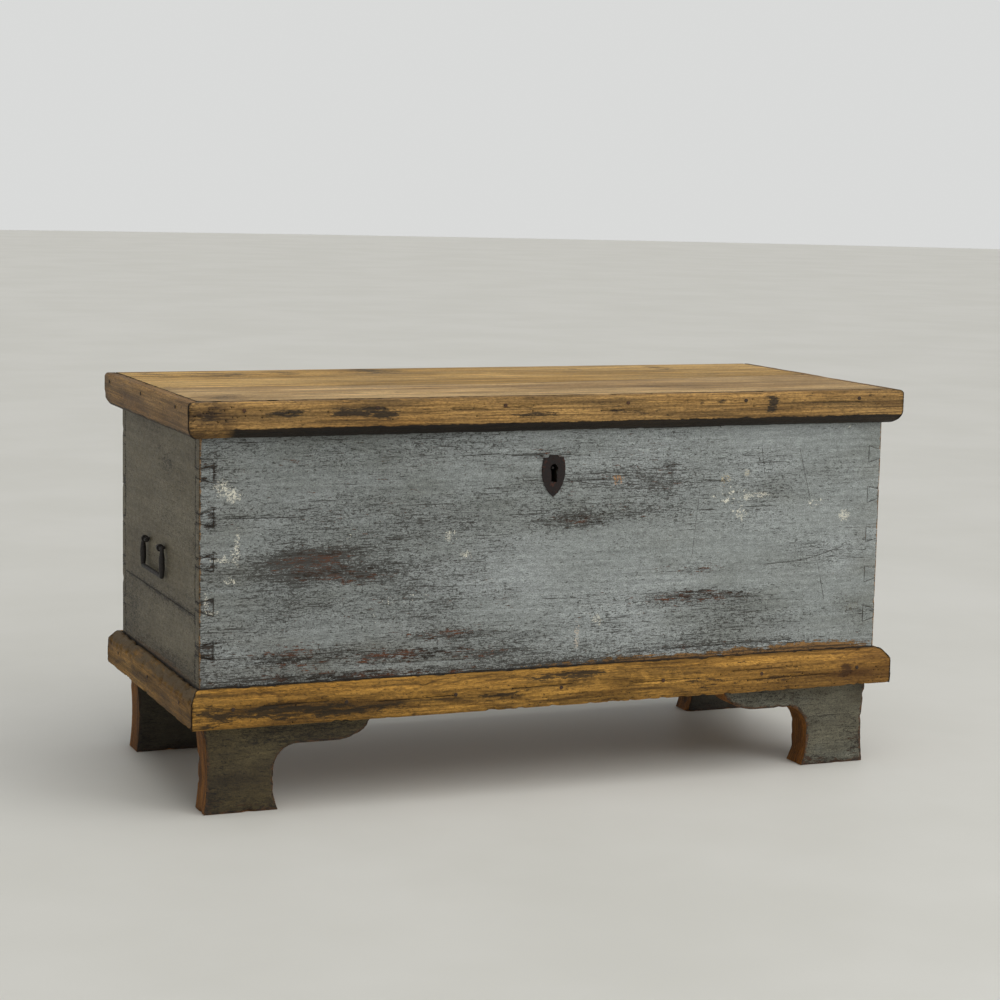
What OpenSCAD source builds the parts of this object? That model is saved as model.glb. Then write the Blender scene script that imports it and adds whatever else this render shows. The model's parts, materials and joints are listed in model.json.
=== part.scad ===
// Painted pine blanket chest. The case is dovetailed from two-board walls and stands on
// four scroll-cut plank feet behind a bevelled plinth. The lid has applied edge strips and
// turns on two strap hinges. A box lock sits inside the front, and each end has a drop bail.
// Millimetres, +Z up, the front faces -Y. The origin is the centre of the footprint.

/* [Case] */
// Width of the case, left to right
case_w = 1150; // [900:10:1400]
// Depth of the case, front to back
case_d = 479; // [420:1:600]
// Height of the case boards, from the bottom boards to the rim
case_h = 439; // [400:1:520]
// Thickness of the case boards
board_t = 22; // [18:1:26]
// Thickness of the bottom boards
bottom_t = 22; // [18:1:26]
// Height of the seam in the front and the back, above the bottom boards
front_seam_h = 289; // [240:1:300]
// Height of the seam in the two ends, above the bottom boards
side_seam_h = 142; // [130:1:143]

/* [Dovetails] */
// Number of full pins at each corner
pin_count = 5; // [4:1:5]
// Height of the lowest full pin's centre above the bottom boards
pin_first = 92; // [80:1:92]
// Distance between pin centres
pin_pitch = 66.25; // [60:0.25:70]
// Height of a pin where it meets its board
pin_root = 27; // [20:1:30]
// Height of a pin at the outer corner
pin_tip = 14; // [8:1:18]

/* [Lid] */
// Thickness of the lid boards
lid_t = 26; // [22:1:32]
// Height of the edge strips round the lid
lid_edge_h = 56; // [45:1:60]
// Distance by which the lid stands past each end
lid_over_side = 24; // [18:1:32]
// Distance by which the lid stands past the front and the back
lid_over_front = 26; // [24:1:32]
// Free gap between the edge strips and the case
lip_gap = 5; // [3:1:8]
// Height of the rounding under the edge strips
lip_round = 22; // [12:1:24]
// Radius of the lid's worn upper edge
lid_top_r = 7; // [3:1:9]

/* [Plinth and feet] */
// Height of the plinth strips
plinth_h = 58; // [48:1:70]
// Height of the bevel on the plinth's upper edge
plinth_bevel = 15; // [8:1:20]
// Distance by which the plinth stands past the front and the back
plinth_out_front = 27; // [20:1:32]
// Distance by which the plinth stands past each end
plinth_out_side = 18.6; // [14:0.1:24]
// Height of the feet
foot_h = 137; // [120:1:150]
// Thickness of the plank feet
foot_t = 50; // [36:1:60]
// Distance of the feet behind the front and back faces
foot_inset = 5.5; // [2:0.5:20]

/* [Hinges] */
// Distance of each hinge from the middle
hinge_x = 340; // [250:5:400]
// Width of a hinge strap
strap_w = 30; // [24:1:40]
// Length of a hinge strap under the lid
strap_len = 180; // [120:5:200]
// Thickness of the hinge iron
strap_t = 3; // [2:0.5:3]
// Height of the hinge leaf on the back
leaf_h = 90; // [60:5:120]

/* [Lock] */
// Position of the keyhole, left or right of the middle
key_x = -9; // [-60:1:60]
// Distance of the keyhole's round centre below the rim
key_drop = 89; // [80:1:95]

/* [Handles] */
// Height of the handle pivots above the floor
handle_z = 377; // [330:1:480]
// Distance of the handles behind the middle of the ends
handle_y = 10; // [-40:1:40]
// Width of a bail between the centres of its legs
bail_w = 118; // [90:1:140]
// Drop of a bail from its pivots to the centre of its grip
bail_drop = 44; // [36:1:60]
// Diameter of the bail's iron
bail_d = 7; // [6:0.5:8]

/* [Hidden] */
$fn = 48;

// Colours
paint = [0.44, 0.48, 0.51];
paint_end = [0.36, 0.37, 0.34];
pine = [0.66, 0.50, 0.31];
plinth_pine = [0.62, 0.43, 0.21];
raw_pine = [0.60, 0.48, 0.33];
foot_paint = [0.35, 0.35, 0.32];
rust = [0.24, 0.15, 0.12];
iron = [0.12, 0.11, 0.11];

// Levels and half sizes of the case
base_z = foot_h + bottom_t;
rim_z = base_z + case_h;
half_w = case_w / 2;
half_d = case_d / 2;
front_seam_z = base_z + front_seam_h;
side_seam_z = base_z + side_seam_h;
top_z = rim_z + lid_t;
lid_half_w = half_w + lid_over_side;
lid_half_d = half_d + lid_over_front;
eps = 1;

// Share of the plinth's overhang that is flat on top, between the case and the bevel
ledge_share = 0.41;

// Lid seam: where it starts, bends and ends, as distances behind the middle
seam_left_y = -20;
seam_bend = [-30, -50];
seam_right_y = 30;

// Foot outline, measured in from the case's end
foot_heel = 9;        // outer corner on the floor
foot_waist = 13.5;    // outer edge at its waist
foot_waist_z = 62;    // height of that waist
foot_toe = 126;       // inner corner on the floor
foot_ankle = 118;     // inner edge above its flare
foot_flare_z = 36;    // height of the flare
arch_r = 38.5;        // radius of the arch corner
arch_crown = 100.5;   // height of the arch
scroll_u = 213;       // middle of the scroll
scroll_rx = 60;       // half length of the scroll

// Hinge knuckles: strap knuckle in the middle and a leaf knuckle on each side of it
knuckle_r = 5.5;
hinge_pin_r = 2.5;
running = 0.06;
knuckle_w = 10;
knuckle_gap = 0.5;
hinge_y = half_d + knuckle_r + 1;
hinge_z = rim_z - knuckle_r - 1;
pin_head_r = 4;
pin_head_t = 1.5;
notch_side = 1;
notch_depth = strap_t + 0.4;
leaf_nail_drops = [25, 50, 75];     // below the hinge line
leaf_nail_side = 7;                 // left or right of the leaf's middle
strap_nail_in = [45, 95, 140, 180]; // in front of the back face

// Keyhole
key_r = 6.5;
key_slot_w = 9.5;
key_drop_slot = 21.5;
key_z = rim_z - key_drop;

// Lock, measured from the inner face of the front
lock_y = -half_d + board_t;
lock_w = 110;
lock_top = rim_z - 6;
lock_h = 120;
lock_plate_t = 2.5;
cover_w = 92;
cover_top = rim_z - 12;
cover_h = 104;
cover_depth = 16;
cover_wall = 2;
bolt_y = lock_y + 9;
bolt_z = rim_z - 30;
bolt_w = 4;
bolt_h = 10;
bolt_slack = 0.3;
bolt_arm_w = 12;
bolt_arm_h = 50;
bolt_arm_back = 41;    // distance of the arm behind the bolt's tip
bolt_notch_r = 5;
guide_w = 6;
guide_x = [-30, 6];    // left edges of the two guides, beside the keyhole
guide_wall = 3;
bolt_len = 62;
staple_x = key_x + 22;
staple_t = 4;
staple_w = 9;
staple_drop = 36;
staple_eye_w = 5.2;
staple_eye_h = 12;
staple_plate_w = 24;
staple_plate_l = 50;
staple_plate_t = 2.5;
staple_gap = 3;        // free space round the staple in the cover's slot
staple_nail_x = 17;    // distance of its nails from the staple
staple_nail_y = 6;     // distance of its nails behind the bolt
bolt_tip_gap = 1;
key_pin_r = 2.2;
key_pin_in = 4;        // distance of the key post's end behind the front face
lock_nail_in = [5, 8]; // distance of the lock's nails from the plate's sides and ends

// Escutcheon: a shield with a small crown
plate_top_w = 34;
plate_w = 40;
plate_top = key_z + 17;
plate_h = 62;
crown_w = 14;
crown_h = 4;
crown_flare = 2;
plate_t = 2;
plate_x = key_x - 1;
shoulder_in = 0.8;     // inset and drop of the shield's shoulder
shoulder_drop = 9;
flank_drop = 19;       // where the shield starts to taper
flank_bend = 2.1;      // powers that shape the taper
flank_round = 0.8;
plate_nail_z = [plate_top + 0.5, plate_top - plate_h + 8];
plate_nail_size = 0.7;

// Handles
bail_r = bail_d / 2;
handle_off = 7.5;     // distance of the pivot line from the end of the case
eye_bore_r = bail_r + 0.1;
eye_wall = 2.4;
eye_w = 5;
eye_in = 11;          // distance of an eye's centre inside the bail's leg
stub_len = 26;        // inward length of a bail's end
shank_r = 2.4;
clinch_len = 14;

// Nails
nail_r = 1.8;
nail_head_r = 3.4;
nail_head_t = 1;
nail_proud = 0.6;
nail_stop = 2;             // wood left beyond the point of a lid nail
plinth_nail_z = foot_h + 30;
plinth_nail_end = 45;      // distance of the outer nails from the case's corners
plinth_nail_long = 44;
plinth_nail_short = 36;
lid_nail_end = 60;         // distance of the outer nails from the case's corners
lid_nail_front = 50;
lid_nail_back = 10;
lid_nail_long = 52;
lid_nail_short = 50;
bottom_nail_x = 330;       // distance of the outer nails from the case's ends
bottom_nail_y = 100;
bottom_nail = 50;
foot_nail_u = [45, 95];    // nails over the leg, in from the case's end
scroll_nail_u = 190;       // nail over the scroll
foot_nail = 70;
scroll_nail = 48;

// Points on an ellipse's arc, from angle a0 to a1 in n steps
function arc(cx, cy, rx, ry, a0, a1, n) =
    [for (i = [0:n]) let (a = a0 + (a1 - a0) * i / n) [cx + rx * cos(a), cy + ry * sin(a)]];

// Evenly spaced places from a to b
function spread(a, b, n) = [for (i = [0:n - 1]) a + (b - a) * i / (n - 1)];

// Extrudes a (y, z) outline along X, centred on x = 0
module along_x(length) {
    rotate([90, 0, 90]) linear_extrude(length, center = true) children();
}

// Extrudes an (x, z) outline along Y from y0 to y1
module along_y(y0, y1) {
    translate([0, y1, 0]) rotate([90, 0, 0]) linear_extrude(y1 - y0) children();
}

// A block between two corners
module block(low, high) {
    translate(low) cube(high - low);
}

// One nail along +Z: its head stands nail_proud below z = 0 and its shank runs up
module nail(length) {
    translate([0, 0, -nail_proud]) cylinder(r = nail_head_r, h = nail_head_t);
    translate([0, 0, -nail_proud]) cylinder(r = nail_r, h = length + nail_proud, $fn = 24);
}

// ---- Case ----

// Pins of one end (side is -1 left, 1 right) in the (x, z) plane, half pins at rim and base
module pin_outlines(side) {
    outer = side * half_w;
    inner = side * (half_w - board_t);
    for (i = [0:pin_count - 1]) {
        z = base_z + pin_first + i * pin_pitch;
        polygon([[inner, z - pin_root / 2], [outer, z - pin_tip / 2],
                 [outer, z + pin_tip / 2], [inner, z + pin_root / 2]]);
    }
    polygon([[inner, base_z], [outer, base_z],
             [outer, base_z + pin_tip / 2], [inner, base_z + pin_root / 2]]);
    polygon([[inner, rim_z], [outer, rim_z],
             [outer, rim_z - pin_tip / 2], [inner, rim_z - pin_root / 2]]);
}

// Front or back wall: a full-width board with sockets for the pins
module tail_board(side, z0, z1) {
    y0 = side < 0 ? -half_d : half_d - board_t;
    difference() {
        block([-half_w, y0, z0], [half_w, y0 + board_t, z1]);
        for (end = [-1, 1])
            along_y(y0 - eps, y0 + board_t + eps) pin_outlines(end);
    }
}

// End wall: a board between the front and back, with its pins at both ends
module pin_board(side, z0, z1) {
    x0 = side < 0 ? -half_w : half_w - board_t;
    intersection() {
        union() {
            block([x0, -half_d + board_t, base_z], [x0 + board_t, half_d - board_t, rim_z]);
            along_y(-half_d, half_d) pin_outlines(side);
        }
        block([-half_w, -half_d, z0], [half_w, half_d, z1]);
    }
}

// Keyhole between two depths
module keyhole(y0, y1) {
    translate([key_x, y1, key_z]) rotate([90, 0, 0]) cylinder(r = key_r, h = y1 - y0);
    block([key_x - key_slot_w / 2, y0, key_z - key_drop_slot],
          [key_x + key_slot_w / 2, y1, key_z]);
}

module front_upper_board() {
    color(paint) difference() {
        tail_board(-1, front_seam_z, rim_z);
        keyhole(-half_d - eps, -half_d + board_t + eps);
    }
}

module front_lower_board() {
    color(paint) tail_board(-1, base_z, front_seam_z);
}

// The back's rim is notched where the two straps pass over it
module back_upper_board() {
    color(paint_end) difference() {
        tail_board(1, front_seam_z, rim_z);
        for (x = [-hinge_x, hinge_x])
            block([x - strap_w / 2 - notch_side, half_d - board_t - eps, rim_z - notch_depth],
                  [x + strap_w / 2 + notch_side, half_d + eps, rim_z + eps]);
    }
}

module back_lower_board() {
    color(paint_end) tail_board(1, base_z, front_seam_z);
}

module left_upper_board() {
    color(paint_end) pin_board(-1, side_seam_z, rim_z);
}

module left_lower_board() {
    color(paint_end) pin_board(-1, base_z, side_seam_z);
}

module right_upper_board() {
    color(paint_end) pin_board(1, side_seam_z, rim_z);
}

module right_lower_board() {
    color(paint_end) pin_board(1, base_z, side_seam_z);
}

// One of three boards across the depth, numbered 0 to 2 from the front
module bottom_board(i) {
    width = floor(case_d / 3);
    back = i == 2 ? half_d : -half_d + (i + 1) * width;
    color(raw_pine)
        block([-half_w, -half_d + i * width, foot_h], [half_w, back, base_z]);
}

module bottom_front_board() {
    bottom_board(0);
}

module bottom_middle_board() {
    bottom_board(1);
}

module bottom_back_board() {
    bottom_board(2);
}

// ---- Plinth ----

// Strip section: out is away from the case, height starts at the bottom boards' underside
module plinth_section(out) {
    polygon([[0, 0], [out, 0], [out, plinth_h - plinth_bevel],
             [out * ledge_share, plinth_h], [0, plinth_h]]);
}

// Plan of a mitred strip on the front (side = -1) or the back (side = 1)
module plinth_long(side) {
    color(plinth_pine) intersection() {
        translate([0, side * half_d, foot_h]) along_x(case_w + 4 * plinth_out_side)
            mirror([side < 0 ? 1 : 0, 0]) plinth_section(plinth_out_front);
        translate([0, 0, foot_h - eps]) linear_extrude(plinth_h + 2 * eps)
            polygon([[-half_w, side * half_d], [half_w, side * half_d],
                     [half_w + plinth_out_side, side * (half_d + plinth_out_front)],
                     [-half_w - plinth_out_side, side * (half_d + plinth_out_front)]]);
    }
}

// Plan of a mitred strip on the left (side = -1) or the right (side = 1)
module plinth_end(side) {
    color(plinth_pine) intersection() {
        translate([side * half_w, 0, foot_h])
            along_y(-half_d - 2 * plinth_out_front, half_d + 2 * plinth_out_front)
            mirror([side < 0 ? 1 : 0, 0]) plinth_section(plinth_out_side);
        translate([0, 0, foot_h - eps]) linear_extrude(plinth_h + 2 * eps)
            polygon([[side * half_w, -half_d], [side * half_w, half_d],
                     [side * (half_w + plinth_out_side), half_d + plinth_out_front],
                     [side * (half_w + plinth_out_side), -half_d - plinth_out_front]]);
    }
}

module plinth_front() {
    plinth_long(-1);
}

module plinth_back() {
    plinth_long(1);
}

module plinth_left() {
    plinth_end(-1);
}

module plinth_right() {
    plinth_end(1);
}

// ---- Feet ----

// Distance of the foot's outer edge from the case's end, at height z
function foot_outer(z) =
    foot_waist - (foot_waist - foot_heel) * pow((z - foot_waist_z) / foot_waist_z, 2);

// Distance of the foot's inner edge from the case's end, at height z in the flare
function foot_inner(z) =
    foot_ankle + (foot_toe - foot_ankle) * pow(1 - z / foot_flare_z, 2);

// Right-hand foot seen from the front: waisted leg, arch corner and a scroll under the plinth
module foot_outline() {
    arch_u = foot_ankle + arch_r;
    arch_z = arch_crown - arch_r;
    outer = [for (z = spread(foot_h, 0, 13)) [foot_outer(z), z]];
    flare = [for (z = spread(0, foot_flare_z, 7)) [foot_inner(z), z]];
    corner = arc(arch_u, arch_z, arch_r, arch_r, 180, 90, 8);
    scroll = arc(scroll_u, foot_h, scroll_rx, foot_h - arch_crown, 270, 360, 10);
    polygon([for (p = concat(outer, flare, corner, scroll)) [half_w - p[0], p[1]]]);
}

module foot(side, y0) {
    color(foot_paint) mirror([side < 0 ? 1 : 0, 0, 0]) along_y(y0, y0 + foot_t) foot_outline();
}

module foot_front_left() {
    foot(-1, -half_d + foot_inset);
}

module foot_front_right() {
    foot(1, -half_d + foot_inset);
}

module foot_back_left() {
    foot(-1, half_d - foot_inset - foot_t);
}

module foot_back_right() {
    foot(1, half_d - foot_inset - foot_t);
}

// ---- Lid ----

module lid_board(points) {
    color(pine) translate([0, 0, rim_z]) linear_extrude(lid_t) polygon(points);
}

module lid_front_board() {
    x = half_w + lip_gap;
    y = -half_d - lip_gap;
    lid_board([[-x, y], [x, y], [x, seam_right_y], seam_bend, [-x, seam_left_y]]);
}

module lid_back_board() {
    x = half_w + lip_gap;
    lid_board([[-x, seam_left_y], seam_bend, [x, seam_right_y], [x, lid_half_d],
               [-x, lid_half_d]]);
}

// Strip section: out is away from the case, with a rounded top edge and a rounded underside
module lid_edge_section(over) {
    low = top_z - lid_edge_h;
    under = arc(lip_gap, low + lip_round, over - lip_gap, lip_round, 270, 360, 10);
    top = arc(over - lid_top_r, top_z - lid_top_r, lid_top_r, lid_top_r, 0, 90, 6);
    polygon(concat(under, top, [[lip_gap, top_z]]));
}

module lid_edge_front() {
    x = half_w + lip_gap;
    y = -half_d - lip_gap;
    color(pine) intersection() {
        translate([0, -half_d, 0]) along_x(2 * lid_half_w)
            mirror([1, 0]) lid_edge_section(lid_over_front);
        translate([0, 0, rim_z - lid_edge_h]) linear_extrude(2 * lid_edge_h)
            polygon([[-x, y], [x, y], [lid_half_w, -lid_half_d], [-lid_half_w, -lid_half_d]]);
    }
}

module lid_edge_side(side) {
    x = side * (half_w + lip_gap);
    y = -half_d - lip_gap;
    color(pine) intersection() {
        translate([side * half_w, 0, 0]) along_y(-lid_half_d, lid_half_d)
            mirror([side < 0 ? 1 : 0, 0]) lid_edge_section(lid_over_side);
        translate([0, 0, rim_z - lid_edge_h]) linear_extrude(2 * lid_edge_h)
            polygon([[x, y], [x, lid_half_d], [side * lid_half_w, lid_half_d],
                     [side * lid_half_w, -lid_half_d]]);
    }
}

module lid_edge_left() {
    lid_edge_side(-1);
}

module lid_edge_right() {
    lid_edge_side(1);
}

// ---- Hinges ----

// A cylinder about the hinge line, from x0 to x1
module hinge_round(r, x0, x1) {
    translate([x0, hinge_y, hinge_z]) rotate([0, 90, 0]) cylinder(r = r, h = x1 - x0);
}

// Leaf on the outside of the back, with a knuckle at each side
module hinge_leaf(x) {
    edge = strap_w / 2;
    inner = knuckle_w / 2 + knuckle_gap;
    color(iron) difference() {
        union() {
            block([x - edge, half_d, hinge_z - leaf_h],
                  [x + edge, half_d + strap_t, hinge_z - knuckle_r - 1]);
            for (s = [[-edge, -inner], [inner, edge]]) {
                block([x + s[0], half_d, hinge_z - knuckle_r - 2],
                      [x + s[1], half_d + strap_t, hinge_z]);
                hinge_round(knuckle_r, x + s[0], x + s[1]);
            }
        }
        hinge_round(hinge_pin_r + running, x - edge - eps, x + edge + eps);
    }
}

// Strap under the lid, with one knuckle between the leaf's two
module hinge_strap(x) {
    half = knuckle_w / 2;
    color(iron) difference() {
        union() {
            block([x - strap_w / 2, half_d - strap_len, rim_z - strap_t],
                  [x + strap_w / 2, half_d, rim_z]);
            translate([x, half_d - strap_len, rim_z - strap_t])
                cylinder(r = strap_w / 2, h = strap_t);
            block([x - half, half_d - eps, rim_z - strap_t], [x + half, hinge_y, rim_z]);
            hinge_round(knuckle_r, x - half, x + half);
        }
        hinge_round(hinge_pin_r + running, x - half - eps, x + half + eps);
    }
}

// Pin with a riveted head at each end
module hinge_pin(x) {
    edge = strap_w / 2 + knuckle_gap;
    color(iron) {
        hinge_round(hinge_pin_r, x - edge, x + edge);
        hinge_round(pin_head_r, x - edge - pin_head_t, x - edge);
        hinge_round(pin_head_r, x + edge, x + edge + pin_head_t);
    }
}

module left_hinge_leaf() {
    hinge_leaf(-hinge_x);
}

module left_hinge_strap() {
    hinge_strap(-hinge_x);
}

module left_hinge_pin() {
    hinge_pin(-hinge_x);
}

module right_hinge_leaf() {
    hinge_leaf(hinge_x);
}

module right_hinge_strap() {
    hinge_strap(hinge_x);
}

module right_hinge_pin() {
    hinge_pin(hinge_x);
}

module hinge_leaf_nails() {
    color(iron) for (x = [-hinge_x, hinge_x])
        for (i = [0:2])
            translate([x + (i == 1 ? 1 : -1) * leaf_nail_side, half_d + strap_t,
                       hinge_z - leaf_nail_drops[i]])
                rotate([90, 0, 0]) nail(board_t);
}

module hinge_strap_nails() {
    color(iron) for (x = [-hinge_x, hinge_x])
        for (y = strap_nail_in)
            translate([x, half_d - y, rim_z - strap_t]) nail(lid_t - nail_stop);
}

// ---- Lock ----

// Back plate on the inside of the front, with two guides that carry the bolt
module lock_plate() {
    color(rust) difference() {
        union() {
            block([key_x - lock_w / 2, lock_y, lock_top - lock_h],
                  [key_x + lock_w / 2, lock_y + lock_plate_t, lock_top]);
            for (x = guide_x)
                block([key_x + x, lock_y, bolt_z - bolt_h / 2 - guide_wall],
                      [key_x + x + guide_w, bolt_y + bolt_w / 2 + guide_wall,
                       bolt_z + bolt_h / 2 + guide_wall]);
        }
        for (x = guide_x)
            block([key_x + x - eps, bolt_y - bolt_w / 2 - bolt_slack,
                   bolt_z - bolt_h / 2 - bolt_slack],
                  [key_x + x + guide_w + eps, bolt_y + bolt_w / 2 + bolt_slack,
                   bolt_z + bolt_h / 2 + bolt_slack]);
        keyhole(lock_y - eps, lock_y + lock_plate_t + eps);
    }
}

// Box over the works, open on top above the staple
module lock_cover() {
    x0 = key_x - cover_w / 2;
    x1 = key_x + cover_w / 2;
    y0 = lock_y + lock_plate_t;
    z0 = cover_top - cover_h;
    color(rust) difference() {
        block([x0, y0, z0], [x1, y0 + cover_depth, cover_top]);
        block([x0 + cover_wall, y0 - eps, z0 + cover_wall],
              [x1 - cover_wall, y0 + cover_depth - cover_wall, cover_top - cover_wall]);
        block([staple_x - staple_t / 2 - staple_gap, y0 - eps, cover_top - cover_wall - eps],
              [staple_x + staple_t / 2 + staple_gap, y0 + cover_depth - cover_wall,
               cover_top + eps]);
    }
}

// Sliding bolt, drawn back at rest, with an arm that hangs down to the key
module lock_bolt() {
    tip = staple_x - staple_t / 2 - bolt_tip_gap;
    tail = tip - bolt_len;
    arm = tip - bolt_arm_back;
    color(iron) difference() {
        union() {
            block([tail, bolt_y - bolt_w / 2, bolt_z - bolt_h / 2],
                  [tip, bolt_y + bolt_w / 2, bolt_z + bolt_h / 2]);
            block([arm, bolt_y - bolt_w / 2, bolt_z - bolt_arm_h],
                  [arm + bolt_arm_w, bolt_y + bolt_w / 2, bolt_z]);
        }
        translate([arm + bolt_arm_w / 2, bolt_y + bolt_w, bolt_z - bolt_arm_h])
            rotate([90, 0, 0]) cylinder(r = bolt_notch_r, h = 2 * bolt_w);
    }
}

// Post in the keyhole for a hollow key, fixed in the cover
module lock_key_pin() {
    y1 = lock_y + lock_plate_t + cover_depth - cover_wall;
    color(iron) translate([key_x, y1, key_z]) rotate([90, 0, 0])
        cylinder(r = key_pin_r, h = y1 + half_d - key_pin_in, $fn = 24);
}

module lock_nails() {
    side = lock_w / 2 - lock_nail_in[0];
    color(iron)
        for (x = [key_x - side, key_x + side])
            for (z = [lock_top - lock_nail_in[1], lock_top - lock_h + lock_nail_in[1]])
                translate([x, lock_y + lock_plate_t, z]) rotate([90, 0, 0])
                    nail(board_t - 3);
}

// Eye on the lid that drops into the lock, hung from a plate under the lid
module lid_staple() {
    color(rust) {
        difference() {
            block([staple_x - staple_t / 2, bolt_y - staple_w / 2, rim_z - staple_drop],
                  [staple_x + staple_t / 2, bolt_y + staple_w / 2, rim_z - 1]);
            block([staple_x - staple_t, bolt_y - staple_eye_w / 2, bolt_z - staple_eye_h / 2],
                  [staple_x + staple_t, bolt_y + staple_eye_w / 2, bolt_z + staple_eye_h / 2]);
        }
        block([staple_x - staple_plate_l / 2, bolt_y - staple_w / 2, rim_z - staple_plate_t],
              [staple_x + staple_plate_l / 2, bolt_y - staple_w / 2 + staple_plate_w, rim_z]);
    }
}

module lid_staple_nails() {
    color(iron) for (s = [-1, 1])
        translate([staple_x + s * staple_nail_x, bolt_y + staple_nail_y,
                   rim_z - staple_plate_t])
            nail(lid_t - 2 * nail_stop);
}

// ---- Escutcheon ----

module shield_outline() {
    flank_z = plate_top - flank_drop;
    low_z = plate_top - plate_h;
    side = [for (t = spread(0, 1, 9))
        [plate_w / 2 * pow(1 - pow(t, flank_bend), flank_round),
         flank_z + (low_z - flank_z) * t]];
    right = concat([[crown_w / 2, plate_top + crown_h], [crown_w / 2 + crown_flare, plate_top],
                    [plate_top_w / 2, plate_top],
                    [plate_w / 2 - shoulder_in, plate_top - shoulder_drop]], side);
    left = [for (i = [len(right) - 2:-1:0]) [-right[i][0], right[i][1]]];
    polygon(concat(right, left));
}

module escutcheon() {
    color(rust) difference() {
        translate([plate_x, 0, 0]) along_y(-half_d - plate_t, -half_d) shield_outline();
        keyhole(-half_d - plate_t - eps, -half_d + eps);
    }
}

module escutcheon_nails() {
    color(rust) for (z = plate_nail_z)
        translate([plate_x, -half_d - plate_t, z]) rotate([-90, 0, 0])
            scale(plate_nail_size) nail(board_t);
}

// ---- Handles ----

// Cylinder along Y about the left pivot line, from y0 to y1 beside the handle's middle
module pivot_round(r, y0, y1) {
    translate([-half_w - handle_off, handle_y + y1, handle_z]) rotate([90, 0, 0])
        cylinder(r = r, h = y1 - y0);
}

// Left bail, hanging: two inward ends on the pivot line, two legs and a grip
module bail() {
    half = bail_w / 2;
    x = -half_w - handle_off;
    for (s = [-1, 1]) {
        pivot_round(bail_r, min(s * half, s * (half - stub_len)),
                    max(s * half, s * (half - stub_len)));
        translate([x, handle_y + s * half, handle_z]) sphere(r = bail_r);
        translate([x, handle_y + s * half, handle_z - bail_drop])
            cylinder(r = bail_r, h = bail_drop);
        translate([x, handle_y + s * half, handle_z - bail_drop]) sphere(r = bail_r);
    }
    translate([x, handle_y + half, handle_z - bail_drop]) rotate([90, 0, 0])
        cylinder(r = bail_r, h = bail_w);
}

// Left cotters: an eye round each bail end, a shank through the board, and clinched ends
module cotters() {
    x = -half_w - handle_off;
    inside = -half_w + board_t;
    for (s = [-1, 1]) {
        y = s * (bail_w / 2 - eye_in);
        difference() {
            union() {
                pivot_round(eye_bore_r + eye_wall, y - eye_w / 2, y + eye_w / 2);
                translate([x + eye_bore_r + 1, handle_y + y, handle_z]) rotate([0, 90, 0])
                    cylinder(r = shank_r, h = inside + shank_r - x - eye_bore_r - 1);
                translate([inside + shank_r, handle_y + y, handle_z - clinch_len])
                    cylinder(r = shank_r, h = 2 * clinch_len);
            }
            pivot_round(eye_bore_r, y - eye_w, y + eye_w);
        }
    }
}

module left_handle_bail() {
    color(iron) bail();
}

module left_handle_cotters() {
    color(iron) cotters();
}

module right_handle_bail() {
    color(iron) mirror([1, 0, 0]) bail();
}

module right_handle_cotters() {
    color(iron) mirror([1, 0, 0]) cotters();
}

// ---- Nails ----

// Through the plinth strips into the case
module plinth_nails() {
    far_x = half_w - plinth_nail_end;
    far_y = half_d - plinth_nail_end;
    color(iron) {
        for (x = spread(-far_x, far_x, 7)) {
            translate([x, -half_d - plinth_out_front, plinth_nail_z])
                rotate([-90, 0, 0]) nail(plinth_nail_long);
            translate([x, half_d + plinth_out_front, plinth_nail_z])
                rotate([90, 0, 0]) nail(plinth_nail_long);
        }
        for (y = spread(-far_y, far_y, 3)) {
            translate([-half_w - plinth_out_side, y, plinth_nail_z])
                rotate([0, 90, 0]) nail(plinth_nail_short);
            translate([half_w + plinth_out_side, y, plinth_nail_z])
                rotate([0, -90, 0]) nail(plinth_nail_short);
        }
    }
}

// Through the edge strips into the lid boards
module lid_edge_nails() {
    z = rim_z + lid_t / 2;
    color(iron) {
        for (x = spread(-half_w + lid_nail_end, half_w - lid_nail_end, 6))
            translate([x, -lid_half_d, z]) rotate([-90, 0, 0]) nail(lid_nail_long);
        for (y = spread(-half_d + lid_nail_front, half_d - lid_nail_back, 3)) {
            translate([-lid_half_w, y, z]) rotate([0, 90, 0]) nail(lid_nail_short);
            translate([lid_half_w, y, z]) rotate([0, -90, 0]) nail(lid_nail_short);
        }
    }
}

// Up through the bottom boards into the edges of the case boards
module bottom_nails() {
    color(iron) {
        for (x = spread(-half_w + bottom_nail_x, half_w - bottom_nail_x, 4))
            for (y = [-half_d + board_t / 2, half_d - board_t / 2])
                translate([x, y, foot_h]) nail(bottom_nail);
        for (x = [-half_w + board_t / 2, half_w - board_t / 2])
            for (y = spread(-half_d + bottom_nail_y, half_d - bottom_nail_y, 4))
                translate([x, y, foot_h]) nail(bottom_nail);
    }
}

// Down through the bottom boards into the feet
module foot_nails() {
    y = half_d - foot_inset - foot_t / 2;
    color(iron)
        for (sx = [-1, 1])
            for (sy = [-1, 1]) {
                for (u = foot_nail_u)
                    translate([sx * (half_w - u), sy * y, base_z])
                        rotate([180, 0, 0]) nail(foot_nail);
                translate([sx * (half_w - scroll_nail_u), sy * y, base_z])
                    rotate([180, 0, 0]) nail(scroll_nail);
            }
}

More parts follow.
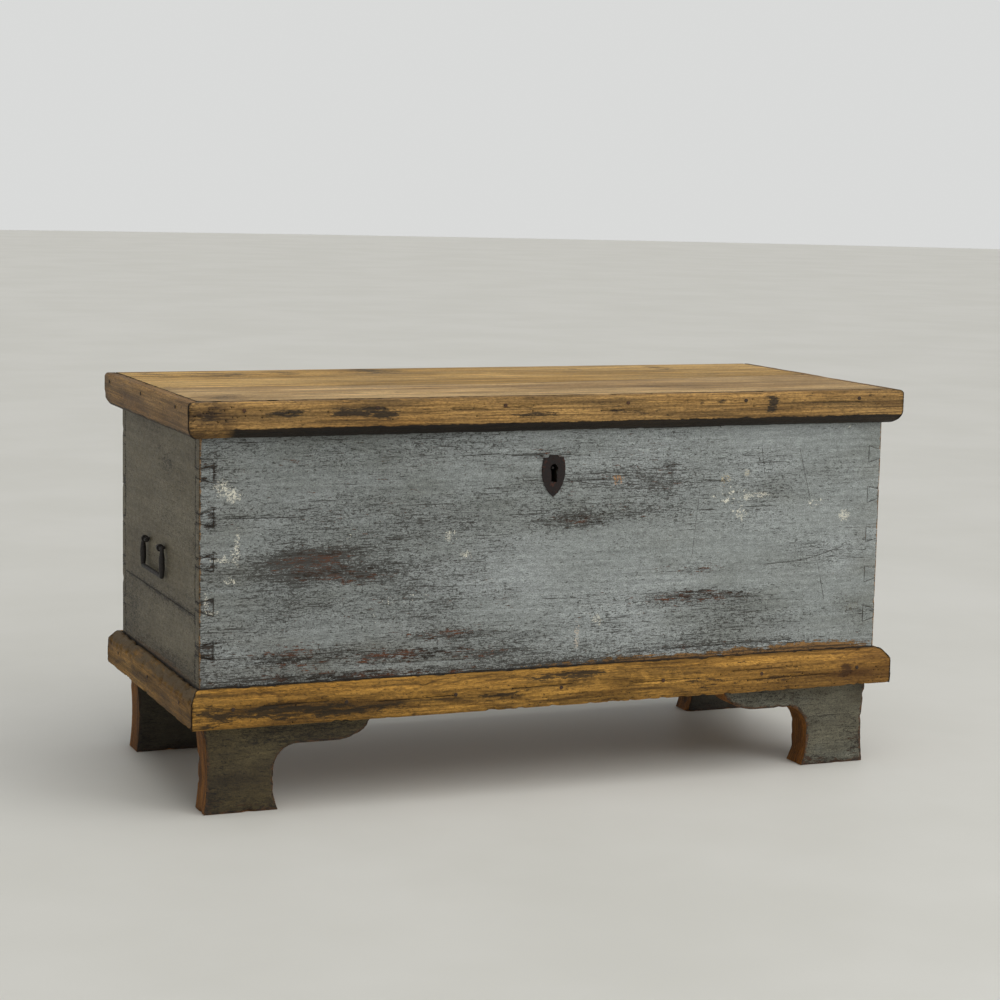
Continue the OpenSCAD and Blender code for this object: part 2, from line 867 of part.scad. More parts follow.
front_upper_board();
front_lower_board();
back_upper_board();
back_lower_board();
left_upper_board();
left_lower_board();
right_upper_board();
right_lower_board();
bottom_front_board();
bottom_middle_board();
bottom_back_board();
plinth_front();
plinth_back();
plinth_left();
plinth_right();
foot_front_left();
foot_front_right();
foot_back_left();
foot_back_right();
lid_front_board();
lid_back_board();
lid_edge_front();
lid_edge_left();
lid_edge_right();
left_hinge_leaf();
left_hinge_strap();
left_hinge_pin();
right_hinge_leaf();
right_hinge_strap();
right_hinge_pin();
hinge_leaf_nails();
hinge_strap_nails();
lock_plate();
lock_cover();
lock_bolt();
lock_key_pin();
lock_nails();
lid_staple();
lid_staple_nails();
escutcheon();
escutcheon_nails();
left_handle_bail();
left_handle_cotters();
right_handle_bail();
right_handle_cotters();
plinth_nails();
lid_edge_nails();
bottom_nails();
foot_nails();
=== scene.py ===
"""Painted pine blanket chest: the visual model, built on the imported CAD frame.

Every board, strip and foot is rebuilt from its CAD node with softened arrises, retiled and
worn. The ironwork is rebuilt with a forged surface. Units are metres, apart from the tables
of wear, which are in millimetres. The front faces -Y.
"""

import json
import math
import random
from typing import NamedTuple

import bmesh
import bpy
import numpy as np
from mathutils import Matrix, Vector, noise
from mathutils.geometry import delaunay_2d_cdt


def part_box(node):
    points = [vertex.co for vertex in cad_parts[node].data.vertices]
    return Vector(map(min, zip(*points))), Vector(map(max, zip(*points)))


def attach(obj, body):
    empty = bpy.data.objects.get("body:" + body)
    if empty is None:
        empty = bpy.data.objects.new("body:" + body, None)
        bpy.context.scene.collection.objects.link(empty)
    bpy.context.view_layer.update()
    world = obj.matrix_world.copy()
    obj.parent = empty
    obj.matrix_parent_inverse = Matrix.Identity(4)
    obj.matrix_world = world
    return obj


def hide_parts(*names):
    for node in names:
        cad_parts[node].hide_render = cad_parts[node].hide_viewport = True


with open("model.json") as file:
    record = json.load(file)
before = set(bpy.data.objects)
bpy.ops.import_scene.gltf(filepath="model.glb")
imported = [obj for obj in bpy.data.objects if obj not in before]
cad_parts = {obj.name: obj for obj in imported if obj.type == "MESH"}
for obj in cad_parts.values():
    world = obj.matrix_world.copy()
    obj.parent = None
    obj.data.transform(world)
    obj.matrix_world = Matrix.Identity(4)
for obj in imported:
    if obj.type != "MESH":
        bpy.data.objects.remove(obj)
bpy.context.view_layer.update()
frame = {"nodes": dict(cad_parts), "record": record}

MM = 0.001
TINY = 0.02 * MM
# Vertices this near are one, convex edges from SHARP on are arrises or joints, and edges
# below SMOOTH_BELOW are shaded smooth
MERGE = 0.01 * MM
SHARP = math.radians(20)
SMOOTH_BELOW = math.radians(38)
X, Y, Z = 0, 1, 2
NODES = frame["nodes"]
BODY_OF = {
    node: body
    for body, nodes in frame["record"]["behaviour"]["bodies"].items()
    for node in nodes
}

# Main planes of the chest, read from the frame
HALF_W = -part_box("left_upper_board")[0].x
HALF_D = -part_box("front_upper_board")[0].y
RIM_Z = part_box("front_upper_board")[1].z
END_SEAM_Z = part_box("left_upper_board")[0].z
TOP_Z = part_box("lid_front_board")[1].z
LID_FRONT_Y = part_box("lid_edge_front")[0].y
LID_LOW_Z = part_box("lid_edge_front")[0].z
PLINTH_FRONT_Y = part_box("plinth_front")[0].y
PLINTH_LOW_Z, PLINTH_TOP_Z = (corner.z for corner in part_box("plinth_front"))
PLINTH_SHOULDER_Z = PLINTH_TOP_Z - 15 * MM


# ---- Node materials ----

RINGS_PER_METRE = 150.0


def linear(tone):
    """Linear colour from a tone: red, green and blue as shown, 0 to 255."""
    out = []
    for value in tone:
        share = value / 255
        low = share / 12.92
        out.append(low if share <= 0.04045 else ((share + 0.055) / 1.055) ** 2.4)
    return (*out, 1.0)


class Graph:
    """A node material under construction. Each method adds nodes and returns a socket."""

    def __init__(self, name, grain=X):
        self.material = bpy.data.materials.new(name)
        self.material.use_nodes = True
        self.tree = self.material.node_tree
        self.shader = self.tree.nodes["Principled BSDF"]
        self.place = self.node("ShaderNodeTexCoord").outputs["Object"]
        self.grain = grain

    def node(self, kind, inputs=(), **settings):
        made = self.tree.nodes.new(kind)
        for key, value in settings.items():
            setattr(made, key, value)
        for key, value in dict(inputs).items():
            self.feed(made.inputs[key], value)
        return made

    def feed(self, socket, value):
        if isinstance(value, bpy.types.NodeSocket):
            self.tree.links.new(value, socket)
        else:
            socket.default_value = value

    def math(self, operation, a, b=0.0, clamp=False):
        inputs = {0: a, 1: b}
        return self.node("ShaderNodeMath", inputs, operation=operation, use_clamp=clamp).outputs[0]

    def fold(self, operation, values):
        total = values[0]
        for value in values[1:]:
            total = self.math(operation, total, value)
        return total

    def add(self, *values):
        return self.fold("ADD", values)

    def times(self, *values):
        return self.fold("MULTIPLY", values)

    def inverse(self, value):
        return self.math("SUBTRACT", 1.0, value, clamp=True)

    def most(self, *values):
        return self.fold("MAXIMUM", values)

    def step(self, value, low, high):
        """0 below low and 1 above high, with a smooth change between."""
        falling = low > high
        ends = (1.0, 0.0) if falling else (0.0, 1.0)
        inputs = {"Value": value, "From Min": min(low, high), "From Max": max(low, high),
                  "To Min": ends[0], "To Max": ends[1]}
        made = self.node("ShaderNodeMapRange", inputs, interpolation_type="SMOOTHSTEP")
        return made.outputs["Result"]

    def spread(self, value, low, high):
        """Values 0 to 1 spread over low to high."""
        inputs = {"Value": value, "To Min": low, "To Max": high}
        return self.node("ShaderNodeMapRange", inputs).outputs["Result"]

    def attribute(self, name):
        return self.node("ShaderNodeAttribute", attribute_name=name).outputs["Fac"]

    def axis(self, index):
        return self.node("ShaderNodeSeparateXYZ", {0: self.place}).outputs[index]

    def stretched(self, along, across, shift=0.0):
        """Place, scaled by along on the grain's axis and by across on the other two."""
        scale = [across] * 3
        scale[self.grain] = along
        moved = (shift, 1.7 * shift, 0.6 * shift)
        inputs = {"Vector": self.place, "Scale": scale, "Location": moved}
        return self.node("ShaderNodeMapping", inputs).outputs["Vector"]

    def noise(self, along, across, detail=2.0, rough=0.5, shift=0.0, warp=0.0):
        """Noise with this many features to the metre along and across the grain."""
        inputs = {"Vector": self.stretched(along, across, shift), "Scale": 1.0, "Detail": detail,
                  "Roughness": rough, "Distortion": warp}
        return self.node("ShaderNodeTexNoise", inputs).outputs["Fac"]

    def mix(self, share, a, b, blend="MIX"):
        """Mixes a and b, each a socket or a tone."""
        made = self.node("ShaderNodeMix", data_type="RGBA", blend_type=blend)
        made.clamp_factor = True
        for index, value in ((0, share), (6, a), (7, b)):
            self.feed(made.inputs[index], linear(value) if isinstance(value, tuple) else value)
        return made.outputs[2]

    def tone(self, base, value, low, high):
        """Base made darker or lighter: value 0 to 1 gives a factor from low to high."""
        factor = self.spread(value, low, high)
        grey = self.node("ShaderNodeCombineColor", {0: factor, 1: factor, 2: factor}).outputs[0]
        return self.mix(1.0, base, grey, "MULTIPLY")

    def vector(self, operation, a, b, output=0):
        made = self.node("ShaderNodeVectorMath", {0: a, 1: b}, operation=operation)
        return made.outputs[output]

    def scratch(self, start, end, width, wobble):
        """1 on a thin line between two (x, z) places, ragged by the wobble noise."""
        start, end = Vector((start[0], 0, start[1])), Vector((end[0], 0, end[1]))
        length = (end - start).length
        run = (end - start) / length
        side = Vector((-run.z, 0, run.x))
        offset = self.vector("SUBTRACT", self.place, start)
        along = self.vector("DOT_PRODUCT", offset, run, 1)
        across = self.vector("DOT_PRODUCT", offset, side, 1)
        ragged = self.add(self.math("ABSOLUTE", across), self.times(wobble, 2.2 * width))
        ends = self.times(self.step(along, 0.0, 8 * MM), self.step(along, length, length - 8 * MM))
        return self.times(ends, self.step(ragged, 1.9 * width, 1.3 * width))

    def blot(self, x, z, half_x, half_z, ragged):
        """1 inside a ragged spot on the front, centred on (x, z)."""
        offset = self.vector("SUBTRACT", self.place, (x, 0.0, z))
        scaled = self.vector("MULTIPLY", offset, (1 / half_x, 0.0, 1 / half_z))
        gap = self.vector("LENGTH", scaled, (0.0, 0.0, 0.0), 1)
        return self.step(self.add(gap, self.times(ragged, 5.0)), 3.75, 3.6)

    def finish(self, base, roughness, height, depth, specular=0.35, metallic=0.0):
        """Connects the shader. Height 0 to 1 stands for depth metres of relief."""
        bump = self.node("ShaderNodeBump", {"Height": height, "Distance": depth, "Strength": 1.0})
        self.feed(self.shader.inputs["Base Color"], base)
        self.feed(self.shader.inputs["Roughness"], roughness)
        self.feed(self.shader.inputs["Metallic"], metallic)
        self.feed(self.shader.inputs["Specular IOR Level"], specular)
        self.feed(self.shader.inputs["Normal"], bump.outputs["Normal"])
        return self.material


def pine_layers(g, pale, mid, dark, shift, pith=(0.0, 0.0), contrast=1.0, late_share=1.0):
    """Sawn pine: colour and relief from growth rings round a pith line, fibres and patches."""
    across = [i for i in (X, Y, Z) if i != g.grain]
    sway = g.noise(1.6, 4.0, 2.0, shift=shift)
    flutter = g.noise(7.0, 30.0, 3.0, shift=shift + 3.1)
    offsets = []
    for index, centre in zip(across, pith):
        moved = g.math("SUBTRACT", g.axis(index), centre)
        swayed = g.times(g.math("SUBTRACT", sway, 0.5), 0.11)
        offsets.append(g.add(moved, swayed))
    squares = [g.times(value, value) for value in offsets]
    radius = g.math("SQRT", g.add(*squares))
    turns = g.add(g.times(radius, RINGS_PER_METRE), g.times(flutter, 1.1))
    wave = g.spread(g.math("SINE", g.times(turns, 2 * math.pi)), 0.5, 1.0)
    late = g.step(wave, 0.62, 0.98)
    fibre = g.step(g.noise(9.0, 420.0, 5.0, 0.62, shift=shift), 0.32, 0.68)
    coarse = g.step(g.noise(3.5, 60.0, 4.0, 0.62, shift=shift + 7.7), 0.33, 0.67)
    grit = g.step(g.noise(170.0, 430.0, 4.0, 0.7, shift=shift + 2.2), 0.3, 0.7)
    patch = g.noise(2.2, 9.0, 3.0, 0.55, shift=shift + 1.3)
    base = g.mix(g.step(patch, 0.36, 0.64), mid, pale)
    base = g.mix(g.times(late, g.spread(coarse, 0.65 * late_share, 0.2 * late_share)), base, dark)
    base = g.tone(base, coarse, 1 - 0.24 * contrast, 1 + 0.2 * contrast)
    base = g.tone(base, fibre, 1 - 0.24 * contrast, 1 + 0.18 * contrast)
    base = g.tone(base, grit, 1 - 0.2 * contrast, 1 + 0.16 * contrast)
    relief = g.add(g.times(late, 0.3), g.times(fibre, 0.4), g.times(grit, 0.3))
    return base, relief, coarse


def old_wood(name, grain, shift, pale, mid, dark, grime, rough=0.62, pith=(0.0, 0.0),
             dirt=0.5, wax=0.3, contrast=1.0, extra=None, late_share=1.0):
    """Bare old pine with ragged grime, pores, cracks and paler arrises.

    extra(g, base) may lay more over the base colour, such as old paint or soot.
    """
    g = Graph(name, grain)
    base, relief, coarse = pine_layers(g, pale, mid, dark, shift, pith, contrast, late_share)
    ragged = g.noise(17.0, 88.0, 9.0, 0.78, shift=shift + 9.0)
    smear = g.noise(4.0, 26.0, 6.0, 0.66, shift=shift + 4.0)
    soot = g.step(g.add(ragged, g.times(g.attribute("stain"), 0.26)), 0.655 - 0.05 * dirt,
                  0.70 - 0.03 * dirt)
    haze = g.step(g.add(smear, g.times(g.attribute("stain"), 0.12)), 0.57 - 0.06 * dirt, 0.72)
    fleck = g.step(g.noise(60.0, 210.0, 6.0, 0.72, shift=shift + 5.0), 0.60 - 0.04 * dirt, 0.68)
    pit = g.step(g.noise(230.0, 480.0, 3.0, 0.6, shift=shift), 0.645 - 0.03 * dirt, 0.70)
    line = g.step(g.noise(11.0, 470.0, 4.0, 0.62, shift=shift + 2.0), 0.635, 0.72)
    edge = g.attribute("edge")
    rub = g.step(g.add(edge, g.times(g.noise(18.0, 60.0, 4.0, 0.6), 8 * MM)), 8 * MM, 4 * MM)
    base = g.mix(g.times(haze, 0.55), base, dark)
    base = g.mix(g.times(rub, 0.45), base, pale)
    base = g.mix(g.times(fleck, 0.35 + 0.35 * dirt), base, grime)
    base = g.mix(g.times(soot, 0.88), base, grime)
    if extra:
        base = extra(g, base)
    hole = g.most(g.times(pit, 0.35 + 0.5 * dirt), g.times(line, 0.6))
    base = g.mix(hole, base, (30, 22, 14))
    sink = g.step(g.attribute("sink"), 0.02, 0.55)
    joint = g.step(g.add(g.attribute("joint"), g.times(ragged, 9.0 * MM)), 6.5 * MM, 5.3 * MM)
    base = g.mix(g.times(g.most(sink, joint), 0.92), base, (20, 14, 8))
    height = g.add(relief, g.times(hole, -0.7), g.times(coarse, 0.4), g.times(fleck, -0.35),
                   g.times(ragged, 0.8 * dirt))
    roughness = g.spread(smear, rough - 0.14, rough + 0.2)
    return g.finish(base, roughness, height, (0.7 + 0.6 * dirt) * MM, wax)


def chalk_paint(name, grain, shift, pale, mid, deep, bare, under, stain_tone, fleck=0.5,
                scratch=0.5, chips=True, frayed=10 * MM, extra=None, gap_shade_z=-1.0):
    """Old thin paint on pine: scratches along the grain, specks, worn patches and chips.

    It is darker just above the plinth, below the gap height it is given: painted shade in the gap
    there. extra(g, paint) may lay more over the paint.
    """
    g = Graph(name, grain)
    wear, calm = g.attribute("wear"), g.attribute("calm")
    cloud = g.noise(2.4, 6.0, 4.0, 0.62, shift=shift)
    brush = g.step(g.noise(6.0, 170.0, 4.0, 0.62, shift=shift + 1.0), 0.3, 0.7)
    mottle = g.step(g.noise(80.0, 170.0, 5.0, 0.72, shift=shift + 15.0), 0.34, 0.66)
    grit = g.step(g.noise(420.0, 620.0, 3.0, 0.65, shift=shift + 16.0), 0.3, 0.7)
    paint = g.mix(g.step(cloud, 0.34, 0.66), deep, pale)
    drift = g.noise(5.0, 15.0, 4.0, 0.62, shift=shift + 8.0)
    paint = g.mix(g.step(drift, 0.42, 0.64), paint, mid)
    paint = g.tone(paint, brush, 0.86, 1.12)
    paint = g.tone(paint, mottle, 0.84, 1.14)
    paint = g.tone(paint, grit, 0.70, 1.30)
    if extra:
        paint = extra(g, paint)

    density = g.noise(3.2, 9.0, 3.0, 0.6, shift=shift + 5.0)
    lift = g.add(g.times(wear, 0.075), g.times(g.math("SUBTRACT", density, 0.5), 0.34),
                 g.times(calm, -0.055))
    long_line = g.noise(13.0, 400.0, 5.0, 0.7, shift=shift + 2.0)
    short_line = g.noise(85.0, 560.0, 4.0, 0.66, shift=shift + 3.0)
    speck = g.noise(260.0, 430.0, 3.0, 0.64, shift=shift + 4.0)
    crawl = g.noise(120.0, 150.0, 4.0, 0.7, shift=shift + 13.0, warp=0.6)
    lines = g.step(g.add(long_line, lift), 0.652 - 0.05 * scratch, 0.682 - 0.05 * scratch)
    dashes = g.step(g.add(short_line, lift), 0.622 - 0.05 * fleck, 0.647 - 0.05 * fleck)
    specks = g.step(g.add(speck, lift), 0.636 - 0.05 * fleck, 0.661 - 0.05 * fleck)
    crawls = g.step(g.add(crawl, lift), 0.665 - 0.05 * fleck, 0.690 - 0.05 * fleck)
    marks = g.most(lines, g.times(dashes, 0.9), g.times(specks, 0.85), g.times(crawls, 0.85))

    streak = g.noise(55.0, 420.0, 7.0, 0.76, shift=shift + 6.0)
    blot = g.noise(120.0, 210.0, 5.0, 0.74, shift=shift + 14.0)
    halo = g.times(g.step(g.attribute("joint"), 9 * MM, 1 * MM), g.inverse(calm))
    broken = g.add(g.times(streak, 0.6), g.times(blot, 0.4))
    worn = g.step(g.add(broken, g.times(wear, 0.110), g.times(halo, 0.085),
                        g.times(calm, -0.05)), 0.598, 0.620)
    bare_band = g.step(g.add(broken, g.times(g.attribute("bare"), 0.30)), 0.640, 0.665)
    fray = g.noise(45.0, 90.0, 5.0, 0.7, shift=shift + 7.0)
    rubbed = g.step(g.math("SUBTRACT", g.attribute("edge"), g.times(fray, frayed)),
                    -0.18 * frayed, -0.36 * frayed)
    wood, relief, _ = pine_layers(g, bare, bare, under, shift + 11.0)
    red = g.step(g.noise(9.0, 60.0, 4.0, 0.65, shift=shift + 17.0), 0.4, 0.62)
    scar = g.mix(g.times(red, g.inverse(halo)), under, stain_tone)
    gone = g.most(worn, rubbed, bare_band)
    base = g.mix(worn, paint, scar)
    base = g.mix(g.times(rubbed, 0.9), base, g.mix(g.step(crawl, 0.38, 0.6), under, bare))
    base = g.mix(bare_band, base, wood)
    base = g.mix(g.times(marks, g.spread(worn, 0.88, 0.35)), base, under)
    if chips:
        flake = g.noise(170.0, 170.0, 4.0, 0.72, shift=shift + 12.0, warp=0.4)
        white = g.step(g.add(flake, g.times(g.attribute("chip"), 0.2)), 0.738, 0.755)
        base = g.mix(white, base, (214, 211, 196))
        base = placed_marks(g, base, flake, fray)
    sink = g.step(g.attribute("sink"), 0.02, 0.5)
    haze = g.add(g.attribute("joint"), g.times(fray, 6.0 * MM))
    joint = g.times(g.step(haze, 4.8 * MM, 3.0 * MM), g.inverse(calm))
    # Painted shade: the paint darkens just above the gap height, in the gap above the plinth.
    gap = g.step(g.add(g.axis(Z), g.times(fray, 6.0 * MM)), gap_shade_z + 5.0 * MM, gap_shade_z + 3.8 * MM)
    joint = g.most(joint, gap)
    base = g.mix(g.times(g.most(sink, joint), 0.9), base, (32, 25, 18))
    coat = g.times(g.inverse(gone), g.inverse(g.times(marks, 0.7)))
    height = g.add(g.times(coat, 0.6), g.times(relief, 0.2), g.times(brush, 0.2),
                   g.times(mottle, 0.25), g.times(grit, 0.2))
    roughness = g.spread(g.noise(60.0, 120.0, 3.0), 0.48, 0.8)
    return g.finish(base, roughness, height, 0.6 * MM, 0.4)


def placed_marks(g, base, flake, fray):
    """The distinct chips and scratches of the front, each at its own place."""
    crinkle = g.noise(95.0, 130.0, 4.0, 0.7, shift=31.0)
    thread = g.math("ABSOLUTE", g.math("SUBTRACT", crinkle, 0.5))
    crumb = g.step(g.noise(260.0, 300.0, 4.0, 0.7, shift=34.0), 0.560, 0.575)
    torn = g.most(g.step(thread, 0.026, 0.018), crumb)
    for *spot, tone in FRONT_BLOTS:
        base = g.mix(g.times(g.blot(*metres(spot), flake), torn, 0.95), base, tone)
    for start, end, width, tone in FRONT_SCRATCHES:
        line = g.scratch(metres(start), metres(end), width * MM, fray)
        base = g.mix(g.times(line, 0.8), base, tone)
    return base


def old_iron(name, dark, mid, rust, rust_share):
    """Forged iron: dark scale with fine pits and blooms of rust."""
    g = Graph(name)
    bloom = g.noise(55.0, 55.0, 5.0, 0.65)
    scale = g.noise(240.0, 240.0, 4.0, 0.65)
    pit = g.step(g.noise(700.0, 700.0, 2.0), 0.60, 0.72)
    base = g.mix(g.step(scale, 0.35, 0.68), dark, mid)
    share = g.step(g.add(bloom, g.times(scale, 0.35)), 0.86 - 0.3 * rust_share,
                   0.98 - 0.2 * rust_share)
    base = g.mix(g.times(share, 0.85), base, rust)
    base = g.mix(g.times(pit, 0.6), base, (14, 11, 10))
    height = g.add(scale, g.times(pit, -0.5), g.times(bloom, 0.6))
    roughness = g.spread(scale, 0.42, 0.85)
    return g.finish(base, roughness, height, 0.5 * MM, 0.5, 0.35)


# ---- Wear painted on the vertices ----
# Lengths here are millimetres. A spot is (centre along, centre height or depth, half length,
# half height, strength), or ends with its tone. Calm spots keep marks and joint lines away.

FRONT_WEAR = [
    (-400, 385, 70, 14, 1.0),
    (-370, 362, 95, 14, 1.0),
    (-330, 352, 60, 10, 0.8),
    (-330, 290, 110, 30, 0.25),
    (-420, 235, 90, 16, 0.9),
    (-240, 228, 110, 12, 1.0),
    (-180, 255, 60, 10, 0.9),
    (-150, 222, 80, 8, 0.7),
    (-350, 203, 200, 7, 1.0),
    (40, 428, 85, 12, 0.75),
    (135, 433, 60, 14, 0.55),
    (180, 480, 50, 22, 0.35),
    (245, 338, 50, 8, 0.75),
    (255, 296, 80, 12, 1.0),
    (190, 290, 60, 10, 0.6),
    (450, 345, 70, 8, 0.30),
    (-80, 310, 30, 14, 0.4),
    (-20, 530, 55, 10, 0.5),
    (100, 487, 160, 20, 0.34),
    (-290, 470, 200, 60, 0.16),
    (-420, 545, 130, 35, 0.26),
    (160, 545, 120, 20, 0.28),
    (195, 510, 12, 8, 0.55),
    (-320, 196, 260, 8, 0.95),
    (30, 198, 70, 8, 0.9),
    (-300, 226, 260, 14, 0.30),
    (300, 214, 260, 6, 0.35),
]
FRONT_CHIPS = [
    (-530, 487, 20, 16, 0.9),
    (-522, 400, 6, 22, 0.9),
    (-535, 392, 18, 4, 0.8),
    (-525, 352, 10, 6, 0.9),
    (-562, 318, 8, 16, 1.0),
    (-335, 420, 22, 20, 0.6),
    (-180, 408, 14, 12, 0.9),
    (-155, 380, 14, 8, 0.9),
    (-250, 315, 50, 16, 0.6),
    (-300, 290, 10, 16, 0.7),
    (300, 455, 45, 20, 0.8),
    (318, 432, 24, 12, 0.9),
    (345, 458, 24, 6, 1.0),
    (455, 440, 14, 10, 0.9),
    (506, 415, 14, 8, 0.9),
    (510, 562, 12, 5, 0.9),
    (328, 490, 8, 4, 1.0),
    (40, 240, 3, 14, 1.0),
    (75, 260, 6, 8, 0.8),
    (365, 282, 40, 4, 0.8),
    (-100, 330, 60, 40, 0.3),
]
BONE = (216, 212, 196)
SOOT = (42, 36, 30)
FRONT_BLOTS = [
    (-541, 493, 9, 9, BONE),
    (-524, 482, 8, 7, BONE),
    (-517, 403, 3.2, 19, BONE),
    (-534, 386, 17, 2.8, BONE),
    (-527, 355, 6, 4, BONE),
    (-564, 321, 3, 15, BONE),
    (-553, 308, 9, 2.6, BONE),
    (-183, 410, 4, 6, BONE),
    (-153, 380, 7, 3, BONE),
    (354, 455, 16, 3, BONE),
    (330, 452, 6, 4, BONE),
    (321, 421, 7, 5, BONE),
    (510, 416, 7, 6, BONE),
    (36, 242, 3, 15, (200, 186, 168)),
    (72, 265, 6, 6, BONE),
    (102, 487, 7, 6, (196, 142, 84)),
    (291, 482, 6, 6, (206, 184, 140)),
    (291, 482, 2.6, 2.6, SOOT),
    (329, 491, 4, 4, (190, 180, 156)),
    (534, 264, 14, 7, (74, 66, 56)),
    (534, 265, 8, 3, (134, 136, 124)),
]
FRONT_SCRATCHES = [
    ((354, 536), (362, 484), 0.9, SOOT),
    ((423, 532), (446, 446), 1, SOOT),
    ((463, 345), (480, 272), 1, SOOT),
    ((246, 476), (234, 356), 0.8, SOOT),
    ((300, 400), (336, 372), 0.7, (150, 156, 158)),
    ((360, 341), (440, 346), 1.1, SOOT),
    ((440, 346), (514, 366), 1.1, SOOT),
    ((-185, 291), (-35, 289), 0.7, (166, 172, 172)),
    ((38, 290), (116, 289), 0.7, (176, 180, 178)),
    ((56, 294), (74, 262), 0.8, SOOT),
    ((-96, 532), (26, 529), 1.2, SOOT),
    ((16, 489), (104, 476), 1.2, SOOT),
    ((30, 478), (190, 470), 0.9, SOOT),
    ((40, 502), (210, 494), 0.8, SOOT),
    ((120, 484), (260, 478), 0.9, SOOT),
    ((-556, 449), (-414, 447), 1, SOOT),
]
FRONT_CRACKS = [
    (-553, -500, 448.8, -0.6, 1.5, 2.2),
    (-500, -436, 448.2, -1.7, 1.2, 1.8),
    (-75, -30, 530.5, -1.3, 0.9, 1.2),
    (12, 52, 529, -1.5, 0.9, 1.0),
    (20, 120, 489, -3, 0.7, 0.8),
    (-330, -150, 218, -3, 0.8, 0.9),
    (180, 420, 212, 3, 1.2, 1.4),
]
FRONT_BARE = [
    (260, 194, 320, 9, 0.85),
    (455, 196, 115, 13, 1.0),
    (130, 195, 80, 10, 0.9),
    (330, 196, 60, 11, 0.9),
]
FRONT_CALM = [
    (480, 420, 110, 130, 1.0),
    (575, 380, 30, 180, 1.0),
    (330, 380, 80, 60, 0.6),
    (310, 475, 75, 55, 0.9),
    (420, 540, 180, 30, 0.7),
    (-120, 470, 100, 50, 0.5),
    (-510, 330, 55, 45, 0.8),
    (440, 250, 100, 35, 0.7),
]
FRONT_STAINS = [
    (-400, 230, 260, 40, 0.5),
    (-540, 350, 50, 200, 0.4),
    (560, 330, 30, 180, 0.35),
]
END_WEAR = [
    (-42, 511, 36, 16, 0.60),
    (-20, 520, 70, 14, 0.40),
    (10, 355, 75, 10, 0.40),
    (160, 244, 34, 28, 0.50),
    (0, 212, 240, 12, 0.60),
    (-50, 300, 200, 8, 0.45),
    (-252, 380, 12, 180, 0.50),
    (-240, 235, 24, 30, 0.60),
]
RIGHT_CALM = [(-240, 380, 30, 400, 1.0)]
BACK_WEAR = [
    (380, 260, 90, 20, 0.7),
    (-120, 232, 160, 16, 0.6),
    (-400, 400, 60, 14, 0.5),
    (150, 420, 100, 12, 0.4),
    (0, 206, 500, 8, 0.6),
]
END_BARE = [
    (0, 196, 240, 9, 0.7),
    (-262, 330, 6, 120, 0.45),
]
LID_FRONT_STAINS = [
    (-520, -190, 40, 50, 0.45),
    (230, -130, 130, 30, 0.25),
]
LID_BACK_STAINS = [
    (-530, 200, 32, 50, 0.60),
    (-430, 190, 80, 60, 0.55),
    (-310, 200, 30, 60, 0.45),
    (-170, 210, 70, 60, 0.6),
    (380, 190, 22, 50, 0.55),
    (215, 200, 12, 20, 0.55),
    (420, 60, 40, 20, 0.40),
    (-40, 90, 60, 20, 0.30),
]
LID_EDGE_CRACKS = [
    (-190, -130, 606.5),
    (-105, -55, 608),
    (60, 130, 600),
    (430, 520, 606),
]
LID_CRACKS = [
    ((-62, -60), (-42, -85)),
    ((-34, -66), (-20, -120)),
    ((-400, -150), (-250, -156)),
    ((260, -110), (420, -104)),
]
LID_EDGE_STAINS = [
    (-447, 606, 26, 8, 0.75),
    (-330, 606, 60, 7, 0.85),
    (-300, 599, 30, 6, 0.85),
    (-150, 606, 30, 3, 0.45),
    (-55, 598, 35, 5, 0.7),
    (110, 600, 60, 8, 0.40),
    (232, 610, 7, 7, 0.55),
    (267, 610, 10, 8, 0.50),
    (357, 604, 12, 18, 0.75),
    (-560, 600, 40, 22, 0.42),
    (520, 604, 50, 20, 0.25),
]
PLINTH_CRACKS = [
    (-300, -180, 164),
    (-80, 20, 170),
    (120, 240, 166),
    (330, 480, 158),
    (300, 420, 174),
    (-480, -380, 169),
]
PLINTH_STAINS = [
    (-460, 160, 90, 12, 0.70),
    (-340, 155, 80, 12, 0.70),
    (-560, 160, 30, 24, 0.55),
    (-100, 158, 50, 10, 0.50),
    (10, 186, 60, 6, 0.85),
    (260, 158, 90, 10, 0.40),
    (510, 165, 14, 14, 0.75),
    (400, 155, 100, 10, 0.35),
]


def metres(lengths):
    """Lengths given in millimetres, in metres."""
    return tuple(length / 1000 for length in lengths)


def painted(points, spots, along, up):
    """Strength 0 to 1 of these soft spots at each point."""
    total = np.zeros(len(points))
    for *spot, strength in spots:
        centre_a, centre_b, half_a, half_b = metres(spot)
        reach_a = (points[:, along] - centre_a) / half_a
        reach_b = (points[:, up] - centre_b) / half_b
        gap = np.sqrt(reach_a**2 + reach_b**2)
        total = np.maximum(total, strength * np.clip(1.5 - gap, 0, 1))
    return total


def gaps(points, segments):
    """Distance of each point from the nearest of the segments, at most 40 mm."""
    best = np.full(len(points), 40 * MM)
    for start, end in segments:
        a = np.array(start)
        run = np.array(end) - a
        share = np.clip(((points - a) @ run) / max(run @ run, 1e-12), 0, 1)
        best = np.minimum(best, np.linalg.norm(points - a - share[:, None] * run, axis=1))
    return best


# ---- Boards: softened, retiled and worn ----


def cad_bmesh(node):
    """The CAD node's mesh with its flat faces whole again."""
    bm = bmesh.new()
    bm.from_mesh(NODES[node].data)
    bmesh.ops.remove_doubles(bm, verts=bm.verts, dist=MERGE)
    bmesh.ops.dissolve_limit(bm, angle_limit=math.radians(0.3), verts=bm.verts, edges=bm.edges)
    return bm


